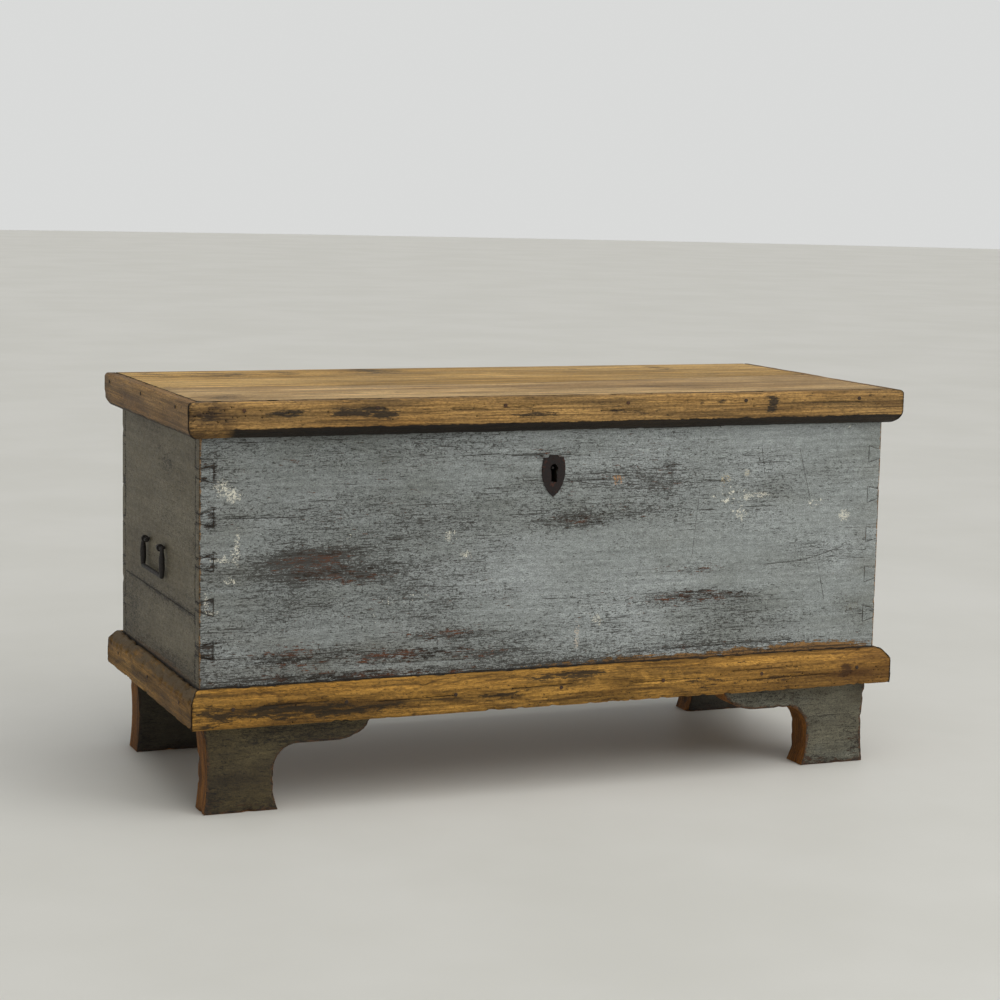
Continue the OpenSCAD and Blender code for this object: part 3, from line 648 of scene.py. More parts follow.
def evaluated(bm, setup):
    """The bmesh after the modifiers that setup(object) adds. Frees the one given."""
    mesh = bpy.data.meshes.new("work")
    bm.to_mesh(mesh)
    bm.free()
    work = bpy.data.objects.new("work", mesh)
    bpy.context.scene.collection.objects.link(work)
    setup(work)
    graph = bpy.context.evaluated_depsgraph_get()
    result = bmesh.new()
    result.from_mesh(work.evaluated_get(graph).to_mesh())
    bpy.data.objects.remove(work)
    bpy.data.meshes.remove(mesh)
    return result


def soften(bm, radius_of):
    """Rounds each convex edge by radius_of(edge), 0 for none."""
    layer = bm.edges.layers.float.new("bevel_weight_edge")
    radii = {}
    for edge in bm.edges:
        sharp = edge.is_manifold and edge.calc_face_angle_signed(0) > SHARP
        radii[edge] = radius_of(edge) if sharp else 0
    widest = max(radii.values())
    if widest == 0:
        return bm
    for edge, radius in radii.items():
        edge[layer] = radius / widest

    def setup(work):
        bevel = work.modifiers.new("soften", "BEVEL")
        bevel.limit_method = "WEIGHT"
        bevel.width = widest
        bevel.segments = 3
        bevel.use_clamp_overlap = True

    return evaluated(bm, setup)


def split_edges(bm, cell_of):
    """Puts vertices along the edges, spaced by the finer of their two faces' cells."""
    for edge in list(bm.edges):
        cell = min(cell_of(face) for face in edge.link_faces)
        start, end = edge.verts
        for parts in range(max(1, round(edge.calc_length() / cell)), 1, -1):
            made, vert = bmesh.utils.edge_split(edge, start, 1 / parts)
            edge = made if end in made.verts else edge
            start = vert


def inside(points, ring):
    """Which 2D points lie inside the ring."""
    hit = np.zeros(len(points), bool)
    for (x0, y0), (x1, y1) in zip(ring, np.roll(ring, -1, axis=0)):
        if y0 == y1:
            continue
        crosses = (points[:, 1] < y0) != (points[:, 1] < y1)
        at = x0 + (points[:, 1] - y0) * (x1 - x0) / (y1 - y0)
        hit ^= crosses & (points[:, 0] < at)
    return hit


def grid_points(ring, cell, rng):
    """Points inside a 2D ring, a jittered cell apart, and clear of its vertices."""
    low, high = ring.min(0), ring.max(0)
    if min(high - low) < 1.2 * cell:
        return np.zeros((0, 2))
    columns = np.arange(low[0] + cell / 2, high[0], cell)
    rows = np.arange(low[1] + cell / 2, high[1], cell * 0.87)
    grid = np.array([(x + (i % 2) * cell / 2, y) for i, y in enumerate(rows) for x in columns])
    grid += rng.uniform(-0.12, 0.12, grid.shape) * cell
    grid = grid[inside(grid, ring)]
    keep = np.ones(len(grid), bool)
    for point in ring:
        keep &= ((grid - point) ** 2).sum(1) > (0.5 * cell) ** 2
    return grid[keep]


def retile_face(bm, face, cell, marks, sink, rng):
    """Replaces a face with small triangles. Marks are (place, depth, clear radius)."""
    normal = face.normal.copy()
    ring = [loop.vert for loop in face.loops]
    origin = ring[0].co.copy()
    axis = min((X, Y, Z), key=lambda i: abs(normal[i]))
    across = Vector([1.0 if i == axis else 0.0 for i in (X, Y, Z)])
    across = (across - normal * across.dot(normal)).normalized()
    up = normal.cross(across)
    flat = np.array([((v.co - origin).dot(across), (v.co - origin).dot(up)) for v in ring])
    inner = grid_points(flat, cell, rng)
    extra, depths = [], []
    for place, depth, clear in marks:
        offset = place - origin
        if abs(offset.dot(normal)) > 0.3 * MM:
            continue
        point = np.array((offset.dot(across), offset.dot(up)))
        if len(inner) and clear:
            inner = inner[((inner - point) ** 2).sum(1) > clear**2]
        extra.append(point)
        depths.append(depth)
    if extra:
        held = inside(np.array(extra), flat)
        room = [((flat - p) ** 2).sum(1).min() > (0.4 * MM) ** 2 for p in extra]
        kept = [i for i in range(len(extra)) if held[i] and room[i]]
        extra = [extra[i] for i in kept]
        depths = [depths[i] for i in kept]
    points = [Vector(p) for p in flat] + [Vector(p) for p in inner] + [Vector(p) for p in extra]
    if len(points) < 5:
        return
    found = delaunay_2d_cdt(points, [], [list(range(len(ring)))], 1, 1e-7)
    verts = []
    first_extra = len(flat) + len(inner)
    for place, sources in zip(found[0], found[3]):
        source = min(sources) if sources else len(points)
        if source < len(ring):
            verts.append(ring[source])
            continue
        vert = bm.verts.new(origin + across * place.x + up * place.y)
        if first_extra <= source < len(points):
            vert[sink] = depths[source - first_extra]
        verts.append(vert)
    slot = face.material_index
    bm.faces.remove(face)
    for triangle in found[2]:
        corners = [verts[i] for i in triangle]
        if len(set(corners)) == 3:
            bm.faces.new(corners).material_index = slot


def groove(start, end, normal, width, depth, seed):
    """Marks for a crack along a line: two banks and a ragged bottom."""
    rng = random.Random(seed)
    start, end = Vector(start), Vector(end)
    side = (end - start).normalized().cross(Vector(normal))
    marks = []
    count = max(2, round((end - start).length / (3 * MM)))
    for i in range(count):
        middle = start.lerp(end, i / count) + side * rng.uniform(-0.3, 0.3) * width
        half = side * width * rng.uniform(0.35, 0.65)
        marks.append((middle, depth * rng.uniform(0.6, 1.0), 3.5 * MM))
        marks.append((middle + half, 0.0, 0))
        marks.append((middle - half, 0.0, 0))
    return marks


def pit(place, normal, radius, depth):
    """Marks for a worm hole: a deep ring inside a rim."""
    normal = Vector(normal)
    a = normal.orthogonal().normalized()
    b = normal.cross(a)
    marks = [(Vector(place), depth, 2.2 * radius + MM)]
    for size, sunk in ((0.8 * radius, depth), (1.15 * radius, 0.0)):
        for i in range(6):
            turn = i * math.pi / 3
            offset = (a * math.cos(turn) + b * math.sin(turn)) * size
            marks.append((Vector(place) + offset, sunk, 0))
    return marks


def wear_surface(bm, sink, flush, grain, wear, bites):
    """Moves the surface inwards: slow unevenness, ridges, nicks, dents, cracks and pits."""
    bm.normal_update()
    verts = list(bm.verts)
    depths = []
    normals = []
    for vert in verts:
        normal = vert.normal.copy()
        for axis, value in flush:
            if abs(vert.co[axis] - value) < TINY:
                normal[axis] = 0
        if normal.length > 0.1:
            normal.normalize()
        place = vert.co.copy()
        place[grain] *= 0.35
        depth = wear.swell * (0.5 + 0.5 * noise.noise(place / (60 * MM)))
        place[grain] *= 0.4
        depth += wear.ridge * abs(noise.noise(place / (9 * MM)))
        arris = min(1.0, (1 - max(abs(c) for c in normal)) / 0.29) if normal.length > 0.5 else 0
        if arris > 0.15:
            bite = max(0.0, noise.noise(vert.co / wear.nick_size) - 0.12)
            fine = abs(noise.noise(vert.co / (0.3 * wear.nick_size)))
            depth += arris * wear.nick * (bite * 1.6 + fine * 0.35)
        depths.append(max(0.0, depth) + vert[sink])
        normals.append(normal)
    places = np.array([v.co for v in verts])
    depths = np.array(depths)
    for place, radius, deep in bites:
        gap = ((places - place) ** 2).sum(1) / radius**2
        depths += deep * np.clip(1 - gap, 0, 1) ** 2
    for vert, normal, depth in zip(verts, normals, depths):
        vert.co -= normal * depth


def add_piece(bm, node, materials, name):
    """Turns a bmesh into the piece that stands for a CAD node, on its body and slot."""
    mesh = bpy.data.meshes.new(name)
    for face in bm.faces:
        face.smooth = True
    for edge in bm.edges:
        edge.smooth = edge.calc_face_angle(0) < SMOOTH_BELOW
    bm.to_mesh(mesh)
    bm.free()
    for material in materials:
        mesh.materials.append(material)
    made = bpy.data.objects.new(name, mesh)
    bpy.context.scene.collection.objects.link(made)
    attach(made, BODY_OF[node])
    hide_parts(node)
    return made


def paint_values(mesh, values):
    """Stores named numbers on the vertices for the materials to read."""
    for name, numbers in values.items():
        layer = mesh.attributes.new(name, "FLOAT", "POINT")
        layer.data.foreach_set("value", np.asarray(numbers, np.float32))


class Wear(NamedTuple):
    """How rough a piece is: slow unevenness, ridges along the grain, nicks and dents."""

    swell: float = 0.35 * MM
    ridge: float = 0.15 * MM
    nick: float = 1.2 * MM
    nick_size: float = 22 * MM
    dents: float = 12.0
    dent_depth: float = 1.2 * MM


PLINTH_WEAR = Wear(0.9 * MM, 1.0 * MM, 2.6 * MM, 15 * MM, 36, 3.0 * MM)
FOOT_WEAR = Wear(0.6 * MM, 0.4 * MM, 1.6 * MM, 14 * MM, 24, 1.8 * MM)
LID_TOP_WEAR = Wear(0.5 * MM, 0.25 * MM, 1.0 * MM, 26 * MM, 8, 0.8 * MM)
LID_EDGE_WEAR = Wear(1.0 * MM, 0.8 * MM, 2.2 * MM, 14 * MM, 32, 2.6 * MM)


def random_dents(segments, wear, rng):
    """Dents along these arrises, wear.dents to the metre."""
    dents = []
    for start, end in segments:
        start, end = np.array(start), np.array(end)
        for _ in range(rng.poisson(wear.dents * np.linalg.norm(end - start))):
            place = start + (end - start) * rng.random()
            place = place + rng.normal(0, 1.0 * MM, 3)
            dents.append((place, rng.uniform(3, 11) * MM, wear.dent_depth * rng.uniform(0.3, 1.4)))
    return dents


def board(node, materials, side_of, kind_of, cell_of, grain=X, marks=(), flush=(),
          wear=Wear(), spots=None, spot_axes=(X, Z)):
    """One worn wooden piece.

    side_of(face) gives the number of the face's material, kind_of(edge) gives the radius of
    an arris and whether it is a joint, and spots gives the listed wear by name.
    """
    bm = cad_bmesh(node)
    bm.normal_update()
    for face in bm.faces:
        face.material_index = side_of(face)
    arrises, joints = [], []
    for edge in bm.edges:
        if not edge.is_manifold or edge.calc_face_angle_signed(0) < SHARP:
            continue
        radius, joint = kind_of(edge)
        if radius:
            ends = tuple(v.co.copy() for v in edge.verts)
            (joints if joint else arrises).append(ends)
    bm = soften(bm, lambda edge: kind_of(edge)[0])
    sink = bm.verts.layers.float.new("depth")
    rng = np.random.default_rng(len(node) * 7 + sum(map(ord, node)))
    split_edges(bm, cell_of)
    bm.normal_update()
    for face in list(bm.faces):
        if len(face.verts) > 3:
            retile_face(bm, face, cell_of(face), marks, sink, rng)
    bmesh.ops.triangulate(bm, faces=[f for f in bm.faces if len(f.verts) > 4])
    rest = np.array([v.co for v in bm.verts])
    depth = np.array([v[sink] for v in bm.verts])
    bites = random_dents(arrises, wear, rng)
    wear_surface(bm, sink, flush, grain, wear, bites)
    made = add_piece(bm, node, materials, node + "_worn")
    values = {"edge": gaps(rest, arrises), "joint": gaps(rest, joints),
              "sink": np.clip(depth / MM, 0, 1)}
    for name in ("wear", "chip", "bare", "stain", "calm"):
        values[name] = painted(rest, (spots or {}).get(name, []), *spot_axes)
    paint_values(made.data, values)
    return made


# ---- Camera, light and floor ----

CAMERA_AT = Vector((-1.5111, -3.6817, 0.9698))
CAMERA_YAW = math.radians(-22.31)
CAMERA_TILT = math.radians(-7.77)
CAMERA_ROLL = math.radians(1.11)
CAMERA_LENS = 87.78


def make_camera():
    data = bpy.data.cameras.new("camera")
    data.lens = CAMERA_LENS
    data.sensor_width = 36
    camera = bpy.data.objects.new("camera", data)
    turn = Matrix.Rotation(CAMERA_YAW, 4, "Z") @ Matrix.Rotation(
        math.pi / 2 + CAMERA_TILT, 4, "X"
    ) @ Matrix.Rotation(CAMERA_ROLL, 4, "Z")
    camera.matrix_world = Matrix.Translation(CAMERA_AT) @ turn
    bpy.context.scene.collection.objects.link(camera)
    bpy.context.scene.camera = camera


def area_light(name, place, target, size, power, tint):
    data = bpy.data.lights.new(name, "AREA")
    data.shape = "RECTANGLE"
    data.size, data.size_y = size
    data.energy = power
    data.color = tint
    light = bpy.data.objects.new(name, data)
    light.location = place
    light.rotation_euler = (Vector(target) - Vector(place)).to_track_quat("-Z", "Y").to_euler()
    bpy.context.scene.collection.objects.link(light)


def make_studio():
    bpy.context.scene.view_settings.view_transform = "Standard"
    world = bpy.data.worlds.new("studio")
    world.use_nodes = True
    tree = world.node_tree
    place = tree.nodes.new("ShaderNodeTexCoord")
    height = tree.nodes.new("ShaderNodeSeparateXYZ")
    fade = tree.nodes.new("ShaderNodeMapRange")
    for name, value in {"From Min": 0.1, "From Max": 0.5, "To Min": 0.8, "To Max": 0.36}.items():
        fade.inputs[name].default_value = value
    tree.links.new(place.outputs["Generated"], height.inputs[0])
    tree.links.new(height.outputs["Z"], fade.inputs["Value"])
    background = tree.nodes["Background"]
    background.inputs["Color"].default_value = linear((240, 241, 240))
    tree.links.new(fade.outputs["Result"], background.inputs["Strength"])
    bpy.context.scene.world = world
    sun = bpy.data.lights.new("soft_sky", "SUN")
    sun.energy = 1.75
    sun.angle = math.radians(70)
    sun.color = (1.0, 0.985, 0.95)
    high_light = bpy.data.objects.new("soft_sky", sun)
    high_light.rotation_euler = Vector((0.22, -0.42, 0.88)).to_track_quat("Z", "Y").to_euler()
    bpy.context.scene.collection.objects.link(high_light)
    area_light("front", (2.0, -2.9, 1.8), (0.1, 0.0, 0.3), (1.8, 1.2), 20, (0.96, 0.98, 1.0))

    g = Graph("pale_floor")
    cloud = g.noise(1.4, 1.4, 4.0, 0.6)
    base = g.mix(g.step(cloud, 0.3, 0.7), (212, 211, 205), (218, 217, 212))
    g.finish(base, g.spread(cloud, 0.5, 0.62), cloud, 0.2 * MM, 0.3)
    bm = bmesh.new()
    bmesh.ops.create_circle(bm, cap_ends=True, radius=30.0, segments=64)
    mesh = bpy.data.meshes.new("floor")
    bm.to_mesh(mesh)
    bm.free()
    mesh.materials.append(g.material)
    floor = bpy.data.objects.new("floor", mesh)
    bpy.context.scene.collection.objects.link(floor)


# ---- The case ----


def near(value, target):
    return abs(value - target) < 0.05 * MM


def front_dirt_and_shade(g, paint):
    """Greyer and browner towards the left and in the stained corners; the darkening towards the
    left is partly a painted shade of the light falling off from the right. A painted shadow lies
    just under the lid.
    """
    # Painted shade: the left part is toned darker, standing in for the light falling off towards
    # the left.
    left = g.step(g.axis(X), 0.30, -0.55)
    paint = g.tone(paint, left, 1.03, 0.85)
    stain = g.times(g.attribute("stain"), g.step(g.noise(7.0, 30.0, 5.0, 0.65), 0.35, 0.6))
    paint = g.mix(g.times(stain, 0.6), paint, (92, 88, 72))
    # Painted shadow: the top of the front, just under the lid, is darkened where the lid's
    # overhang shades it.
    ragged = g.times(g.noise(30.0, 60.0, 5.0, 0.7, shift=8.0), 14 * MM)
    lid_shadow = g.step(g.add(g.axis(Z), ragged), RIM_Z - 7 * MM, RIM_Z + 3 * MM)
    return g.mix(g.times(lid_shadow, 0.75), paint, (46, 42, 36))


def case_materials():
    """Front paint, end paint, bare inside, back paint and keyhole wood darkened as painted shade
    inside the hole: numbers 0 to 4.
    """
    front = chalk_paint("front_paint", X, 0.0, (153, 158, 157), (139, 144, 142), (122, 126, 122),
                        (146, 108, 60), (35, 29, 21), (102, 60, 38), fleck=0.8, scratch=0.7,
                        extra=front_dirt_and_shade, gap_shade_z=PLINTH_TOP_Z)
    back = chalk_paint("back_paint", X, 9.0, (138, 141, 136), (122, 126, 121), (104, 107, 101),
                       (146, 108, 60), (35, 29, 21), (92, 60, 40), fleck=0.7, scratch=0.7,
                       chips=False, gap_shade_z=PLINTH_TOP_Z)
    end = chalk_paint("end_paint", Y, 20.0, (113, 106, 88), (101, 93, 74), (87, 78, 60),
                      (96, 70, 38), (36, 30, 20), (82, 60, 36), fleck=0.45, scratch=0.35,
                      chips=False, gap_shade_z=PLINTH_TOP_Z)
    # Painted shade: the wood inside the keyhole is made near black for the dark of the hole.
    hole = old_wood("keyhole_shade_wood", X, 33.0, (52, 42, 32), (40, 32, 24), (28, 22, 16),
                    (14, 11, 8), rough=0.8, pith=(0.1, 0.2), dirt=0.5, wax=0.1)
    raw = old_wood("case_inside", X, 30.0, (164, 132, 92), (142, 110, 72), (98, 70, 42),
                   (56, 43, 31), rough=0.72, pith=(0.1, 0.2), dirt=0.3, wax=0.2)
    return [front, end, raw, back, hole]


def make_case():
    materials = case_materials()
    key_low, key_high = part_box("escutcheon")

    def side_of(face):
        normal, centre = face.normal, face.calc_center_median()
        if abs(normal.y) > 0.9 and near(abs(centre.y), HALF_D):
            return 0 if centre.y < 0 else 3
        if abs(normal.x) > 0.9 and near(abs(centre.x), HALF_W):
            return 1
        by_key = key_low.x < centre.x < key_high.x and key_low.z < centre.z < key_high.z
        return 4 if by_key and centre.y < 0 and abs(normal.y) < 0.5 else 2

    def kind_of(edge):
        ends = [v.co for v in edge.verts]
        on_front = all(near(abs(p.y), HALF_D) for p in ends)
        on_end = all(near(abs(p.x), HALF_W) for p in ends)
        rim = all(near(p.z, RIM_Z) for p in ends)
        if on_front and on_end:
            return 1.3 * MM, False
        if rim:
            return 1.5 * MM, False
        flat = all(near(p.z, ends[0].z) for p in ends)
        if on_end and flat and near(ends[0].z, END_SEAM_Z):
            return 0.7 * MM, True
        at_pins = max(abs(p.x) for p in ends) > HALF_W - 23 * MM
        if (on_front and at_pins and edge.calc_length() < 60 * MM) or on_end:
            return 0.45 * MM, True
        return 0.0, False

    def cell_of(face):
        slot = face.material_index
        return (7 * MM, 8 * MM, 18 * MM, 9 * MM, 6 * MM)[slot]

    seam_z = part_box("front_upper_board")[0].z
    y = -HALF_D
    marks = []
    for crack in FRONT_CRACKS:
        left, right, z, fall, width, depth = metres(crack)
        marks += groove((left, y, z), (right, y, z + fall), (0, 1, 0), width, depth, len(marks))
    spots = {"wear": FRONT_WEAR, "chip": FRONT_CHIPS, "bare": FRONT_BARE,
             "stain": FRONT_STAINS, "calm": FRONT_CALM}
    for side in ("front", "back"):
        for level in ("upper", "lower"):
            node = f"{side}_{level}_board"
            board(node, materials, side_of, kind_of, cell_of, X,
                  marks if side == "front" else (), ((Z, seam_z),),
                  spots=spots if side == "front" else {"wear": BACK_WEAR})
    for side in ("left", "right"):
        for level in ("upper", "lower"):
            board(f"{side}_{level}_board", materials, side_of, kind_of, cell_of, Y, (), (),
                  spots={"wear": END_WEAR, "bare": END_BARE,
                         "calm": RIGHT_CALM if side == "right" else []}, spot_axes=(Y, Z))
    for place in ("front", "middle", "back"):
        board(f"bottom_{place}_board", [materials[2]], lambda face: 0,
              lambda edge: (1.0 * MM, True), lambda face: 20 * MM, X)


# ---- Plinth and feet ----


def strip_kind(radius, along):
    """Edge rule for a strip: joints round its mitres, soft arrises elsewhere."""

    def kind_of(edge):
        cuts = [0.1 < abs(face.normal[along]) < 0.995 for face in edge.link_faces]
        ends = [abs(face.normal[along]) >= 0.995 for face in edge.link_faces]
        if any(cuts):
            return 0.6 * MM, True
        if any(ends):
            return 1.2 * MM, False
        return radius, False

    return kind_of


def worm_holes(count, seed, pick):
    """Marks for worm holes at the places that pick(random) gives."""
    rng = random.Random(seed)
    marks = []
    for _ in range(count):
        place, normal = pick(rng)
        marks += pit(place, normal, rng.uniform(0.7, 1.2) * MM, 2.2 * MM)
    return marks


def strip_cracks(cracks, y, rise, width, depth):
    """Marks for the cracks (left x, right x, z) along a front strip, each rising by rise."""
    marks = []
    for seed, crack in enumerate(cracks):
        left, right, z = metres(crack)
        marks += groove((left, y, z), (right, y, z + rise), (0, 1, 0), width, depth, seed)
    return marks


def bevel_share(g):
    """1 on the bevel of a plinth strip, with a ragged lower limit."""
    ragged = g.times(g.noise(20.0, 60.0, 4.0, 0.65), 8 * MM)
    return g.step(g.add(g.axis(Z), ragged), PLINTH_SHOULDER_Z + 2 * MM, PLINTH_SHOULDER_Z + 6 * MM)


def bevel_highlight_and_red_end(g, base):
    """The bevel is painted paler, a painted highlight where it faces up to the light, and the
    right end is redder.
    """
    # Painted highlight: the upward-facing bevel is toned paler.
    base = g.tone(base, bevel_share(g), 1.0, 1.32)
    red = g.add(g.times(g.step(g.axis(X), 0.10, 0.40), 0.28),
                g.times(g.step(g.axis(X), 0.44, 0.54), 0.3))
    return g.mix(red, base, (88, 54, 22))


def top_paint(g, base):
    """Thin grey-brown paint is left on the bevels of the side strips."""
    base = g.mix(0.3, base, (96, 74, 48))
    cover = g.step(g.noise(14.0, 60.0, 6.0, 0.7), 0.36, 0.50)
    return g.mix(g.times(bevel_share(g), cover, 0.85), base, (98, 82, 58))


def make_plinth():
    tones = ((160, 119, 53), (126, 90, 34), (68, 44, 14), (38, 30, 17))

    def pick(rng):
        dense = rng.random() < 0.5
        x = rng.uniform(0.35, 0.58) if dense else rng.uniform(-0.585, 0.58)
        z = rng.uniform(PLINTH_LOW_Z + 4 * MM, PLINTH_SHOULDER_Z - 3 * MM)
        return (x, PLINTH_FRONT_Y, z), (0, -1, 0)

    for index, side in enumerate(("front", "back", "left", "right")):
        along = X if side in ("front", "back") else Y
        pith = (0.20, 0.10) if along == X else (0.6, 0.1)
        wood = old_wood(f"plinth_pine_{side}", along, 40.0 + 5 * index, *tones, 0.66, pith, 0.9,
                        0.25, 1.8, bevel_highlight_and_red_end if along == X else top_paint)
        marks = worm_holes(34, 5, pick) if side == "front" else []
        if side == "front":
            marks += strip_cracks(PLINTH_CRACKS, PLINTH_FRONT_Y, 1.5 * MM, 1.1 * MM, 1.6 * MM)
        board(f"plinth_{side}", [wood], lambda face: 0, strip_kind(2.4 * MM, along),
              lambda face: 5 * MM, along, marks, (), PLINTH_WEAR,
              {"stain": PLINTH_STAINS} if along == X else {}, (X, Z))


def foot_materials():
    """Paints for the left, right and back feet, and the bare wood of their edges. The back feet's
    paint is much darker, a painted shade under the chest.
    """
    tones = {
        # The back tones are darker: painted shade for the back feet in the shadow under the chest.
        "back": ((62, 56, 42), (48, 42, 30), (36, 31, 21), (60, 42, 22), (18, 14, 9),
                 (44, 30, 17)),
        "left": ((97, 86, 56), (69, 58, 32), (45, 35, 16), (84, 56, 28), (22, 17, 10),
                 (64, 42, 22)),
        "right": ((123, 124, 112), (97, 93, 77), (68, 60, 42), (92, 58, 28), (30, 24, 16),
                  (70, 44, 24)),
    }
    paints = {}
    for place, shift in (("back", 68.0), ("left", 60.0), ("right", 64.0)):
        paints[place] = chalk_paint(f"foot_paint_{place}", X, shift, *tones[place], fleck=0.6,
                                    scratch=0.6, chips=False, frayed=18 * MM)
    bare = old_wood("foot_end", Z, 70.0, (142, 92, 34), (110, 67, 20), (58, 33, 9),
                    (24, 18, 10), rough=0.7, pith=(0.5, 0.2), dirt=0.9, wax=0.25, contrast=1.3)
    return paints, bare


def make_feet():
    paints, bare = foot_materials()

    def side_of(face):
        return 0 if abs(face.normal.y) > 0.9 else 1

    def kind_of(edge):
        return 1.6 * MM, False

    for depth in ("front", "back"):
        for side in ("left", "right"):
            node = f"foot_{depth}_{side}"
            low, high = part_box(node)
            sign = -1 if side == "left" else 1
            outer = (low.x if side == "left" else high.x) / MM
            spots = {"wear": [
                (outer - sign * 4, 20, 30, 30, 0.7),
                (outer - sign * 95, 5, 50, 12, 0.8),
                (outer - sign * 50, 0, 60, 8, 0.9),
                (outer - sign * 30, 60, 12, 30, 0.45),
                (outer - sign * 120, 115, 80, 10, 0.4),
            ]}
            # The back feet take the darker paint, a painted shade under the chest.
            paint = paints["back" if depth == "back" else side]
            board(node, [paint, bare], side_of, kind_of, lambda face: 4.5 * MM, X, (),
                  ((Z, 0.0),), FOOT_WEAR, spots)


# ---- The lid ----


def top_patches(g, base):
    """Large handled patches, and a duller right half."""
    patch = g.step(g.noise(2.6, 12.0, 5.0, 0.68, shift=14.0), 0.36, 0.62)
    base = g.tone(base, patch, 0.82, 1.10)
    return g.tone(base, g.step(g.axis(X), 0.05, 0.50), 1.02, 0.90)


def front_black_and_shade(g, base):
    """A black lower arris from near the left end on, partly its own black paint and partly a
    painted shade where it faces down under the lid, and a darker, mottled left end.
    """
    ragged = g.times(g.noise(30.0, 90.0, 6.0, 0.72, shift=4.0), 12 * MM)
    # The black lower band is partly painted shade on the downward-facing arris, on top of its real
    # black paint.
    low = g.step(g.add(g.axis(Z), ragged), LID_LOW_Z + 23 * MM, LID_LOW_Z + 21 * MM)
    low = g.times(low, g.step(g.axis(X), -0.545, -0.525))
    end = g.step(g.axis(X), -0.50, -0.56)
    mottle = g.step(g.noise(60.0, 90.0, 6.0, 0.72, shift=6.0), 0.42, 0.56)
    base = g.mix(g.times(end, g.add(g.times(mottle, 0.45), 0.25)), base, (58, 40, 22))
    return g.mix(g.times(low, 0.96), base, (6, 5, 4))


def side_tint_and_shade(g, base):
    """Pinker wood, black at its back, and black along its lower arris as a painted shade of the
    rounding that faces down.
    """
    ragged = g.times(g.noise(30.0, 90.0, 6.0, 0.72, shift=4.0), 12 * MM)
    # Painted shade: the lower arris of the side strip darkens where its rounding faces down.
    low = g.step(g.add(g.axis(Z), ragged), LID_LOW_Z + 15 * MM, LID_LOW_Z + 12 * MM)
    back = g.step(g.add(g.axis(Y), g.times(ragged, 9.0)), 0.255, 0.330)
    base = g.mix(0.3, base, (108, 78, 48))
    base = g.mix(g.times(back, 0.6), base, (34, 28, 22))
    return g.mix(g.times(low, 0.85), base, (20, 17, 13))


def make_lid_boards():
    tones = {
        "front": ((204, 170, 118), (176, 142, 94), (116, 86, 50), (66, 60, 50)),
        "back": ((212, 173, 108), (184, 145, 80), (120, 87, 42), (64, 56, 38)),
    }
    raw = old_wood("lid_underside", X, 110.0, (160, 130, 92), (138, 108, 72), (96, 70, 44),
                   (56, 44, 33), rough=0.72, pith=(0.1, 0.5), dirt=0.3, wax=0.2)

    def side_of(face):
        return 0 if face.normal.z > 0.9 else 1

    def kind_of(edge):
        ends = [v.co for v in edge.verts]
        if all(near(p.z, TOP_Z) for p in ends):
            back = all(near(p.y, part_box("lid_back_board")[1].y) for p in ends)
            return (5.0 * MM, False) if back else (0.9 * MM, True)
        return 0.8 * MM, False

    def cell_of(face):
        return 7 * MM if face.material_index == 0 and face.normal.z > 0.5 else 14 * MM

    cracks = []
    for seed, (start, end) in enumerate(LID_CRACKS):
        ends = (*metres(start), TOP_Z), (*metres(end), TOP_Z)
        cracks += groove(*ends, (0, 0, 1), 1.0 * MM, 1.3 * MM, seed)
    for side, stains, shift, pith in (("front", LID_FRONT_STAINS, 80.0, (-0.16, 0.53)),
                                      ("back", LID_BACK_STAINS, 92.0, (0.12, 0.50))):
        wood = old_wood(f"lid_pine_{side}", X, shift, *tones[side], 0.58, pith, 0.6, 0.25, 1.3,
                        top_patches, 0.6)
        board(f"lid_{side}_board", [wood, raw], side_of, kind_of, cell_of, X,
              cracks if side == "front" else (), (),
              LID_TOP_WEAR, {"stain": stains}, (X, Y))


def make_lid_edges():
    tones = ((168, 131, 76), (136, 100, 49), (76, 50, 22), (26, 22, 16))

    def pick(rng):
        dense = rng.random() < 0.45
        x = rng.uniform(-0.595, -0.53) if dense else rng.uniform(-0.59, 0.59)
        return (x, LID_FRONT_Y, rng.uniform(RIM_Z - 6 * MM, TOP_Z - 8 * MM)), (0, -1, 0)

    for index, side in enumerate(("front", "left", "right")):
        along = X if side == "front" else Y
        pith = (-0.20, 0.55) if side == "front" else (0.5, 0.55)
        wood = old_wood(f"lid_edge_pine_{side}", along, 120.0 + 6 * index, *tones, 0.6, pith,
                        0.85, 0.3, 1.8, front_black_and_shade if side == "front" else side_tint_and_shade,
                        late_share=0.5)
        marks = worm_holes(40, 9, pick) if side == "front" else []
        if side == "front":
            marks += strip_cracks(LID_EDGE_CRACKS, LID_FRONT_Y, -0.8 * MM, 0.9 * MM, 1.4 * MM)
        spots = {"stain": LID_EDGE_STAINS} if side == "front" else {}
        board(f"lid_edge_{side}", [wood], lambda face: 0, strip_kind(1.2 * MM, along),
              lambda face: 5 * MM, along, marks, (), LID_EDGE_WEAR, spots, (X, Z))


# ---- Ironwork ----

BAIL_R = 3.5 * MM


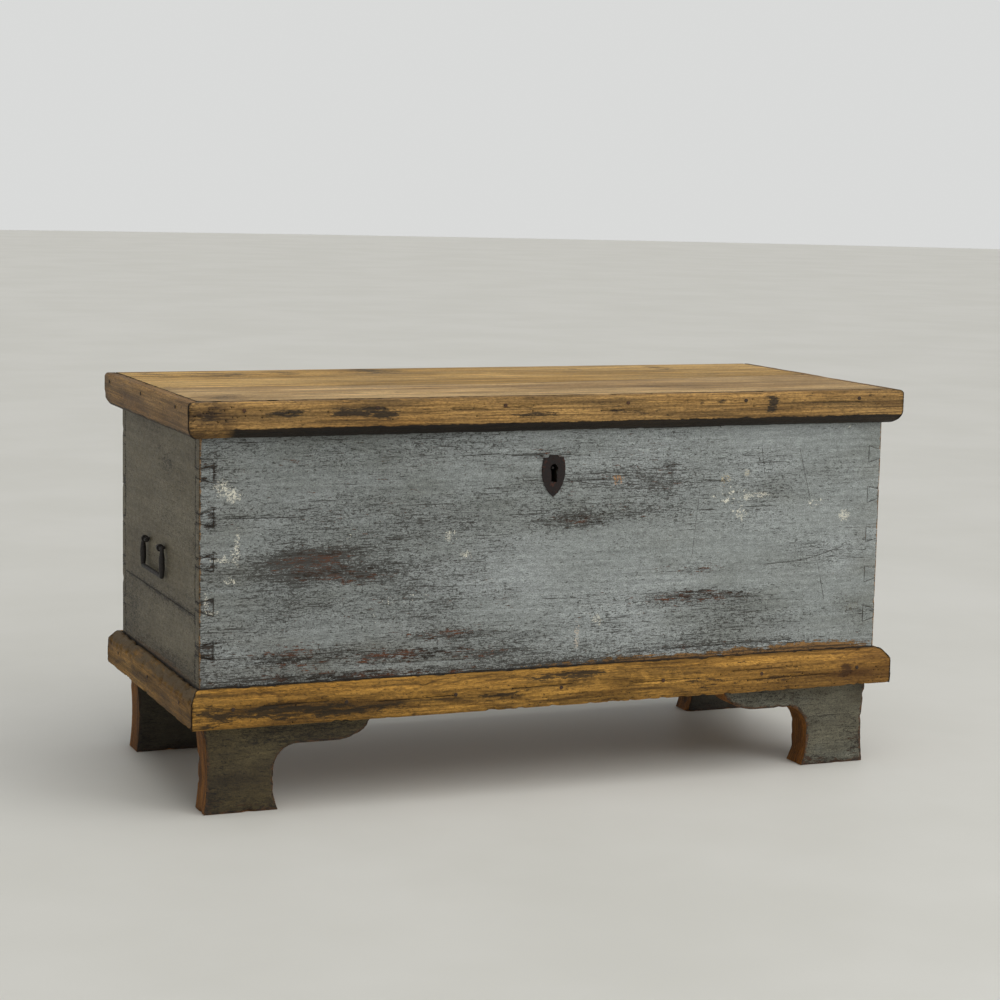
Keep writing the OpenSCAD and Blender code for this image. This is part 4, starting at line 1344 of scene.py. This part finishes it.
def forged(node, voxel, hammer, material, hammer_size=6 * MM, grow=None):
    """An iron piece with a hammered, slightly eaten surface and softened edges.

    grow(place) gives how far the iron stands proud of the CAD surface there.
    """
    bm = bmesh.new()
    bm.from_mesh(NODES[node].data)
    bmesh.ops.remove_doubles(bm, verts=bm.verts, dist=MERGE)

    def setup(work):
        remesh = work.modifiers.new("remesh", "REMESH")
        remesh.mode = "VOXEL"
        remesh.voxel_size = voxel
        smooth = work.modifiers.new("smooth", "SMOOTH")
        smooth.factor = 0.5
        smooth.iterations = 2

    bm = evaluated(bm, setup)
    bm.normal_update()
    moves = []
    for vert in bm.verts:
        slow = noise.noise(vert.co / hammer_size)
        fine = noise.noise(vert.co / (0.25 * hammer_size) + Vector((5, 3, 1)))
        depth = hammer * (0.35 + 0.65 * slow + 0.3 * fine)
        depth = max(0.0, depth) - (grow(vert.co) if grow else 0)
        moves.append((vert, vert.normal * depth))
    for vert, move in moves:
        vert.co -= move
    return add_piece(bm, node, [material], node + "_forged")


def make_iron():
    black = old_iron("black_iron", (30, 27, 26), (52, 47, 44), (84, 52, 34), 0.3)
    rusty = old_iron("rusty_iron", (17, 10, 9), (36, 21, 17), (82, 42, 25), 0.5)
    brown = old_iron("nail_iron", (44, 33, 24), (66, 49, 34), (94, 60, 34), 0.7)
    bail_low, bail_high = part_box("left_handle_bail")
    pivot_z = bail_high.z - BAIL_R

    def leg_swell(place):
        """The bail's legs are thicker than its grip and its ends."""
        down = (pivot_z - place.z) / (pivot_z - bail_low.z)
        share = min(1.0, max(0.0, (down - 0.12) / 0.2), max(0.0, (0.92 - down) / 0.25))
        return 1.4 * MM * share

    for side in ("left", "right"):
        forged(f"{side}_hinge_leaf", 0.8 * MM, 0.5 * MM, black)
        forged(f"{side}_hinge_strap", 0.8 * MM, 0.5 * MM, black)
        forged(f"{side}_hinge_pin", 0.5 * MM, 0.15 * MM, black)
        forged(f"{side}_handle_bail", 0.6 * MM, 0.45 * MM, black, 9 * MM, leg_swell)
        forged(f"{side}_handle_cotters", 0.5 * MM, 0.35 * MM, black, 4 * MM)
    # Node, voxel, depth and size of the hammer marks in mm, iron
    for node, voxel, hammer, hammer_size, iron in (
        ("hinge_leaf_nails", 0.5, 0.3, 3, black),
        ("hinge_strap_nails", 0.5, 0.3, 3, black),
        ("lock_plate", 0.8, 0.3, 6, rusty),
        ("lock_cover", 0.8, 0.3, 6, rusty),
        ("lock_bolt", 0.6, 0.15, 6, black),
        ("lock_key_pin", 0.4, 0.1, 3, black),
        ("lock_nails", 0.5, 0.3, 3, black),
        ("lid_staple", 0.5, 0.2, 6, rusty),
        ("lid_staple_nails", 0.5, 0.3, 3, black),
        ("escutcheon", 0.5, 0.5, 5, rusty),
        ("escutcheon_nails", 0.4, 0.3, 3, rusty),
        ("plinth_nails", 0.7, 0.5, 3, brown),
        ("lid_edge_nails", 0.7, 0.5, 3, brown),
        ("bottom_nails", 0.7, 0.5, 3, brown),
        ("foot_nails", 0.7, 0.5, 3, brown),
    ):
        forged(node, voxel * MM, hammer * MM, iron, hammer_size * MM)


make_camera()
make_studio()
make_case()
make_plinth()
make_feet()
make_lid_boards()
make_lid_edges()
make_iron()
